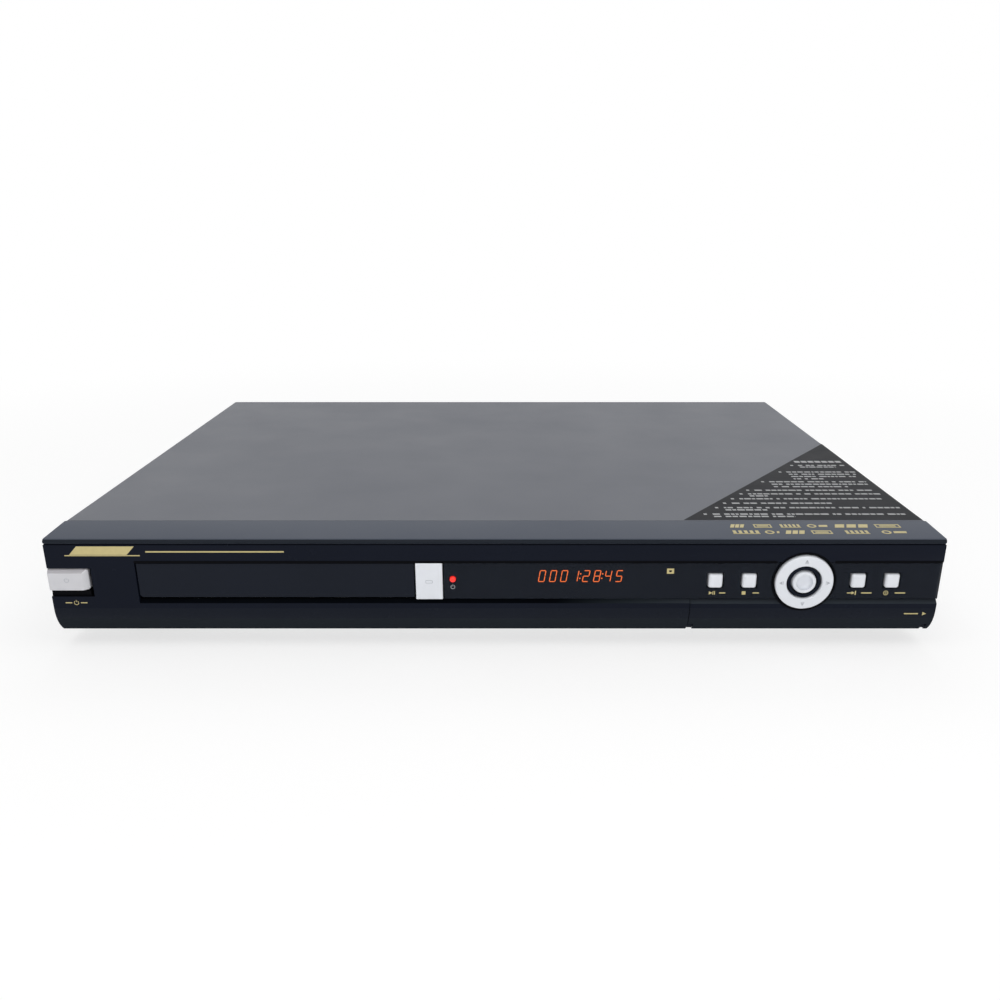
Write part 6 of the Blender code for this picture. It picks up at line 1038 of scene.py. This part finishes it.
def add_can(bm, x, y, radius, height):
    """An upright electrolytic capacitor with its rolled neck and dished top."""
    neck = radius * 0.25
    profile = [(0, 0.0001), (radius, 0.0001), (radius, neck), (radius * 0.92, neck * 1.4), (radius, neck * 1.8),
               (radius, height - 0.0004), (radius - 0.0004, height), (radius * 0.82, height),
               (radius * 0.8, height - 0.0003), (0, height - 0.0003)]
    turn_profile(bm, profile, at(x, y, BOARD_TOP), 24, closed=False)


def make_cans(name, cans):
    bm = bmesh.new()
    for can in cans:
        add_can(bm, *can)
    piece = to_object(name, bm, SLEEVE)
    paint_faces(piece, BRIGHT, lambda normal, centre: normal.z > 0.7 and centre.z > BOARD_TOP + 0.006)


def add_pins(bm, x, y, side, count):
    """Legs on the four sides of a square chip."""
    for quarter in range(4):
        turn = at(x, y, BOARD_TOP) @ turned(90 * quarter, "Z")
        pitch = side * 0.84 / (count - 1)
        for i in range(count):
            left = (i - (count - 1) / 2) * pitch - 0.00025
            right = left + 0.0005
            block(bm, (side / 2 - 0.0002, left, 0.0005), (side / 2 + 0.0005, right, 0.0008), turn)
            block(bm, (side / 2 + 0.0004, left, 0.00005), (side / 2 + 0.0012, right, 0.0007), turn)


def make_chip_pins():
    bm = bmesh.new()
    for x, y, side, count in MAIN_CHIPS:
        add_pins(bm, x, y, side, count)
    draw = random.Random(5)
    for row in range(26):
        x = 0.005 + (row % 13) * 0.0135
        y = 0.086 + (row // 13) * 0.037 + draw.uniform(-0.002, 0.002)
        if any(max(abs(x - cx), abs(y - cy)) < side / 2 + 0.004 for cx, cy, side, _ in MAIN_CHIPS):
            continue
        if any(hypot(x - cx, y - cy) < radius + 0.003 for cx, cy, radius, _ in MAIN_CANS):
            continue
        for end in (x - 0.0012, x + 0.0012):
            block(bm, (end - 0.0003, y - 0.0006, BOARD_TOP), (end + 0.0003, y + 0.0006, BOARD_TOP + 0.0006))
    to_object("chip_pins", bm, NICKEL)


def make_power_parts():
    """Choke, safety capacitor, fuse, switching transistors and plug header of the power board."""
    choke = bmesh.new()
    upright = turned(90, "X")
    centre = at(-0.185, 0.106, BOARD_TOP + 0.01) @ upright
    wire = [(0.0024 + 0.0004 * cos(a), 0.0004 * sin(a)) for a in (0, 1.26, 2.51, 3.77, 5.03)]
    for i in range(36):
        turn = Matrix.Rotation(2 * pi * i / 36, 4, "Z") @ at(0.007, 0, 0)
        turn_profile(choke, wire, centre @ turn @ upright, 14)
    to_object("choke_winding", choke, COPPER)
    core = bmesh.new()
    turn_profile(core, [(0.0052, -0.0018), (0.0088, -0.0018), (0.0088, 0.0018), (0.0052, 0.0018)], centre, 40)
    block(core, (-0.19, 0.103, BOARD_TOP), (-0.18, 0.109, BOARD_TOP + 0.0016))
    for y in TRANSISTOR_ROW:
        block(core, (-0.1386, y - 0.005, 0.0255), (-0.1341, y + 0.005, 0.0405))
    soften(to_object("power_blocks", core, CHIP), 0.0004)
    boxes = bmesh.new()
    block(boxes, (-0.165, 0.112, BOARD_TOP + 0.0001), (-0.15, 0.126, BOARD_TOP + 0.012))
    block(boxes, (-0.156, 0.088, BOARD_TOP + 0.0001), (-0.148, 0.098, BOARD_TOP + 0.009))
    soften(to_object("safety_capacitors", boxes, AMBER), 0.0008, 3)
    header = bmesh.new()
    for low, high in (((-0.073, 0.132), (-0.066, 0.144)), ((-0.196, 0.13), (-0.186, 0.14))):
        block(header, (*low, BOARD_TOP + 0.0001), (*high, BOARD_TOP + 0.008))
    soften(to_object("power_headers", header, WHITE), 0.0004)
    metal = bmesh.new()
    for y in TRANSISTOR_ROW:
        for leg in (y - 0.0025, y, y + 0.0025):
            block(metal, (-0.1368, leg - 0.0004, BOARD_TOP), (-0.136, leg + 0.0004, 0.0256))
        add_screw(metal, facing(-0.1386, y, 0.037, "-x"), 0.0019)
    fuse = facing(-0.17, 0.14, BOARD_TOP + 0.0045, "+x")
    for start, end in ((0, 0.005), (0.015, 0.02)):
        turn_profile(metal, [(0, start), (0.0026, start), (0.0026, end), (0, end)], fuse, 24, closed=False)
    to_object("power_metal", metal, NICKEL)
    glass = bmesh.new()
    turn_profile(glass, [(0, 0.0048), (0.0023, 0.0048), (0.0023, 0.0152), (0, 0.0152)], fuse, 24, closed=False)
    to_object("fuse_tube", glass, FUSE_GLASS)


def on_board(normal, centre):
    return centre.z > BOARD_TOP + 0.0002


def on_plug(normal, centre):
    """The white plug headers at the front of the main board."""
    return on_board(normal, centre) and 0.086 < centre.x < 0.138 and centre.y < 0.073


def make_boards():
    main = refine("main_board", 0)
    paint_faces(main, CHIP, on_board)
    paint_faces(main, WHITE, on_plug)
    paint_faces(refine("power_board", 0), CAST, on_board)
    make_cans("main_capacitors", MAIN_CANS)
    make_cans("power_capacitors", POWER_CANS)
    make_chip_pins()
    make_power_parts()
    screws = bmesh.new()
    for x, y in BOARD_SCREWS:
        add_screw(screws, facing(x, y, BOARD_TOP, "+z"), 0.0026)
    for x in (0.066, 0.158):
        for y in (-0.11, -0.042, 0.026):
            add_screw(screws, facing(x, y, 0.0392, "+z"), 0.0022)
    for x in (-0.174, -0.0372):
        add_screw(screws, facing(x, -0.1077, 0.0513, "+z"), 0.0024)
    to_object("inner_screws", screws, BRIGHT)


# Drive

DRIVE_EDGES = {"disc_tray": 0.0003, "disk_case": 0.0004, "disk_cover": 0.0003, "transformer": 0.0005,
               "fan_frame": 0.0004, "mains_inlet": 0.0002, "filter_capacitor": 0.0004, "clamp_bridge": 0.0002,
               "drive_chassis": 0.0002}


def make_drive_details():
    for node, width in DRIVE_EDGES.items():
        refine(node, width)
    sled = refine("pickup_sled", 0.0002)
    paint_faces(sled, LENS, lambda normal, centre: centre.z > 0.0361)
    ring = bmesh.new()
    profile = [(0.0032, 0.0001), (0.0056, 0.0001), (0.0056, 0.0006), (0.0052, 0.0009), (0.0034, 0.0009)]
    turn_profile(ring, profile, at(DISC_X, -0.0805, 0.036), 40)
    to_object("lens_ring", ring, DARK, "sled")
    pad = bmesh.new()
    profile = [(0.0104, 0.00005), (0.0137, 0.00005), (0.0137, 0.0003), (0.0134, 0.0005), (0.0107, 0.0005)]
    turn_profile(pad, profile, at(DISC_X, -0.1077, 0.0386), 64)
    to_object("turntable_pad", pad, RUBBER, "turntable")


# Stage and light


def seen_directly(nodes, links):
    """One for camera, mirror and glass rays, and zero for the rest."""
    path = nodes.new("ShaderNodeLightPath")
    result = path.outputs["Is Camera Ray"]
    for ray in ("Is Transmission Ray", "Is Glossy Ray"):
        larger = nodes.new("ShaderNodeMath")
        larger.operation = "MAXIMUM"
        links.new(result, larger.inputs[0])
        links.new(path.outputs[ray], larger.inputs[1])
        result = larger.outputs["Value"]
    return result


def floor_finish(name, colour, glow):
    """Pale floor that keeps the shadow near the object and turns to plain white away from it."""
    finish = Finish(name)
    tone = finish.ramp(finish.noise(3.0), ((0.3, shade(colour, 0.99)), (0.7, colour)))
    finish.feed(finish.shader, {"Base Color": tone}, Roughness=0.9, Specular_IOR_Level=0.0,
                Emission_Color=(1, 1, 1, 1), Emission_Strength=glow)
    away = finish.add("VectorMath", {})
    away.operation = "LENGTH"
    finish.feed(away, {0: finish.place})
    far = finish.add("MapRange", {"Value": away.outputs["Value"]}, From_Min=0.25, From_Max=0.9, To_Min=0.5)
    far.interpolation_type = "SMOOTHSTEP"
    share = finish.add("Math", {0: seen_directly(finish.nodes, finish.links), 1: far.outputs["Result"]})
    share.operation = "MULTIPLY"
    white = finish.add("Emission", {})
    mix = finish.add("MixShader", {"Fac": share.outputs["Value"], 1: finish.shader.outputs["BSDF"],
                                   2: white.outputs["Emission"]})
    finish.feed(finish.nodes["Material Output"], {"Surface": mix.outputs["Shader"]})
    return finish.material


def make_stage():
    bm = bmesh.new()
    reach = 4.0
    block(bm, (-reach, -reach, -0.01), (reach, reach, 0))
    link_mesh("floor", bm, floor_finish("floor_white", (0.92, 0.92, 0.92), 0.33))


def add_light(name, place, aim, size, power):
    data = bpy.data.lights.new(name, "AREA")
    data.shape = "RECTANGLE"
    data.size, data.size_y = size
    data.energy = power
    light = bpy.data.objects.new(name, data)
    light.location = place
    light.rotation_euler = (Vector(aim) - Vector(place)).to_track_quat("-Z", "Y").to_euler()
    bpy.context.scene.collection.objects.link(light)


def make_world():
    world = bpy.data.worlds.new("world")
    bpy.context.scene.world = world
    world.use_nodes = True
    nodes = world.node_tree.nodes
    links = world.node_tree.links
    background = nodes["Background"]
    background.inputs["Color"].default_value = (1, 1, 1, 1)
    span = nodes.new("ShaderNodeMapRange")
    span.inputs["To Min"].default_value = 0.38
    span.inputs["To Max"].default_value = 1.0
    links.new(seen_directly(nodes, links), span.inputs["Value"])
    links.new(span.outputs["Result"], background.inputs["Strength"])


def finish_plain_nodes():
    """Gives every CAD node that stays visible its finish."""
    for node, piece in NODES.items():
        piece.data.materials.clear()
        piece.data.materials.append(finish_of(node))


make_cover()
make_function_buttons()
make_dial_ring()
make_dial_button()
make_eject_button()
make_standby_button()
make_front_marks()
make_port_square()
make_readout()
make_flap_mark()
make_cover_film()
make_band_marks()
make_standby_light()
make_case_screws()
make_feet()
make_front_painted_shade()
make_sockets()
make_aerials()
make_inlet_pins()
make_port_tongue()
make_boards()
make_drive_details()
finish_plain_nodes()
make_stage()
make_world()
add_light("key", (-0.5, -0.9, 1.6), (0, 0, 0.03), (1.4, 1.0), 5.5)
add_light("fill", (0.9, -0.5, 1.3), (0, 0, 0.03), (1.2, 1.2), 3.5)
add_light("back", (0.1, 1.2, 1.3), (0, 0, 0.05), (1.6, 0.8), 3.0)
add_light("front", (0.0, -1.6, 0.6), (0, 0, 0.03), (1.6, 0.8), 5.6)
bpy.context.scene.view_settings.view_transform = "Standard"
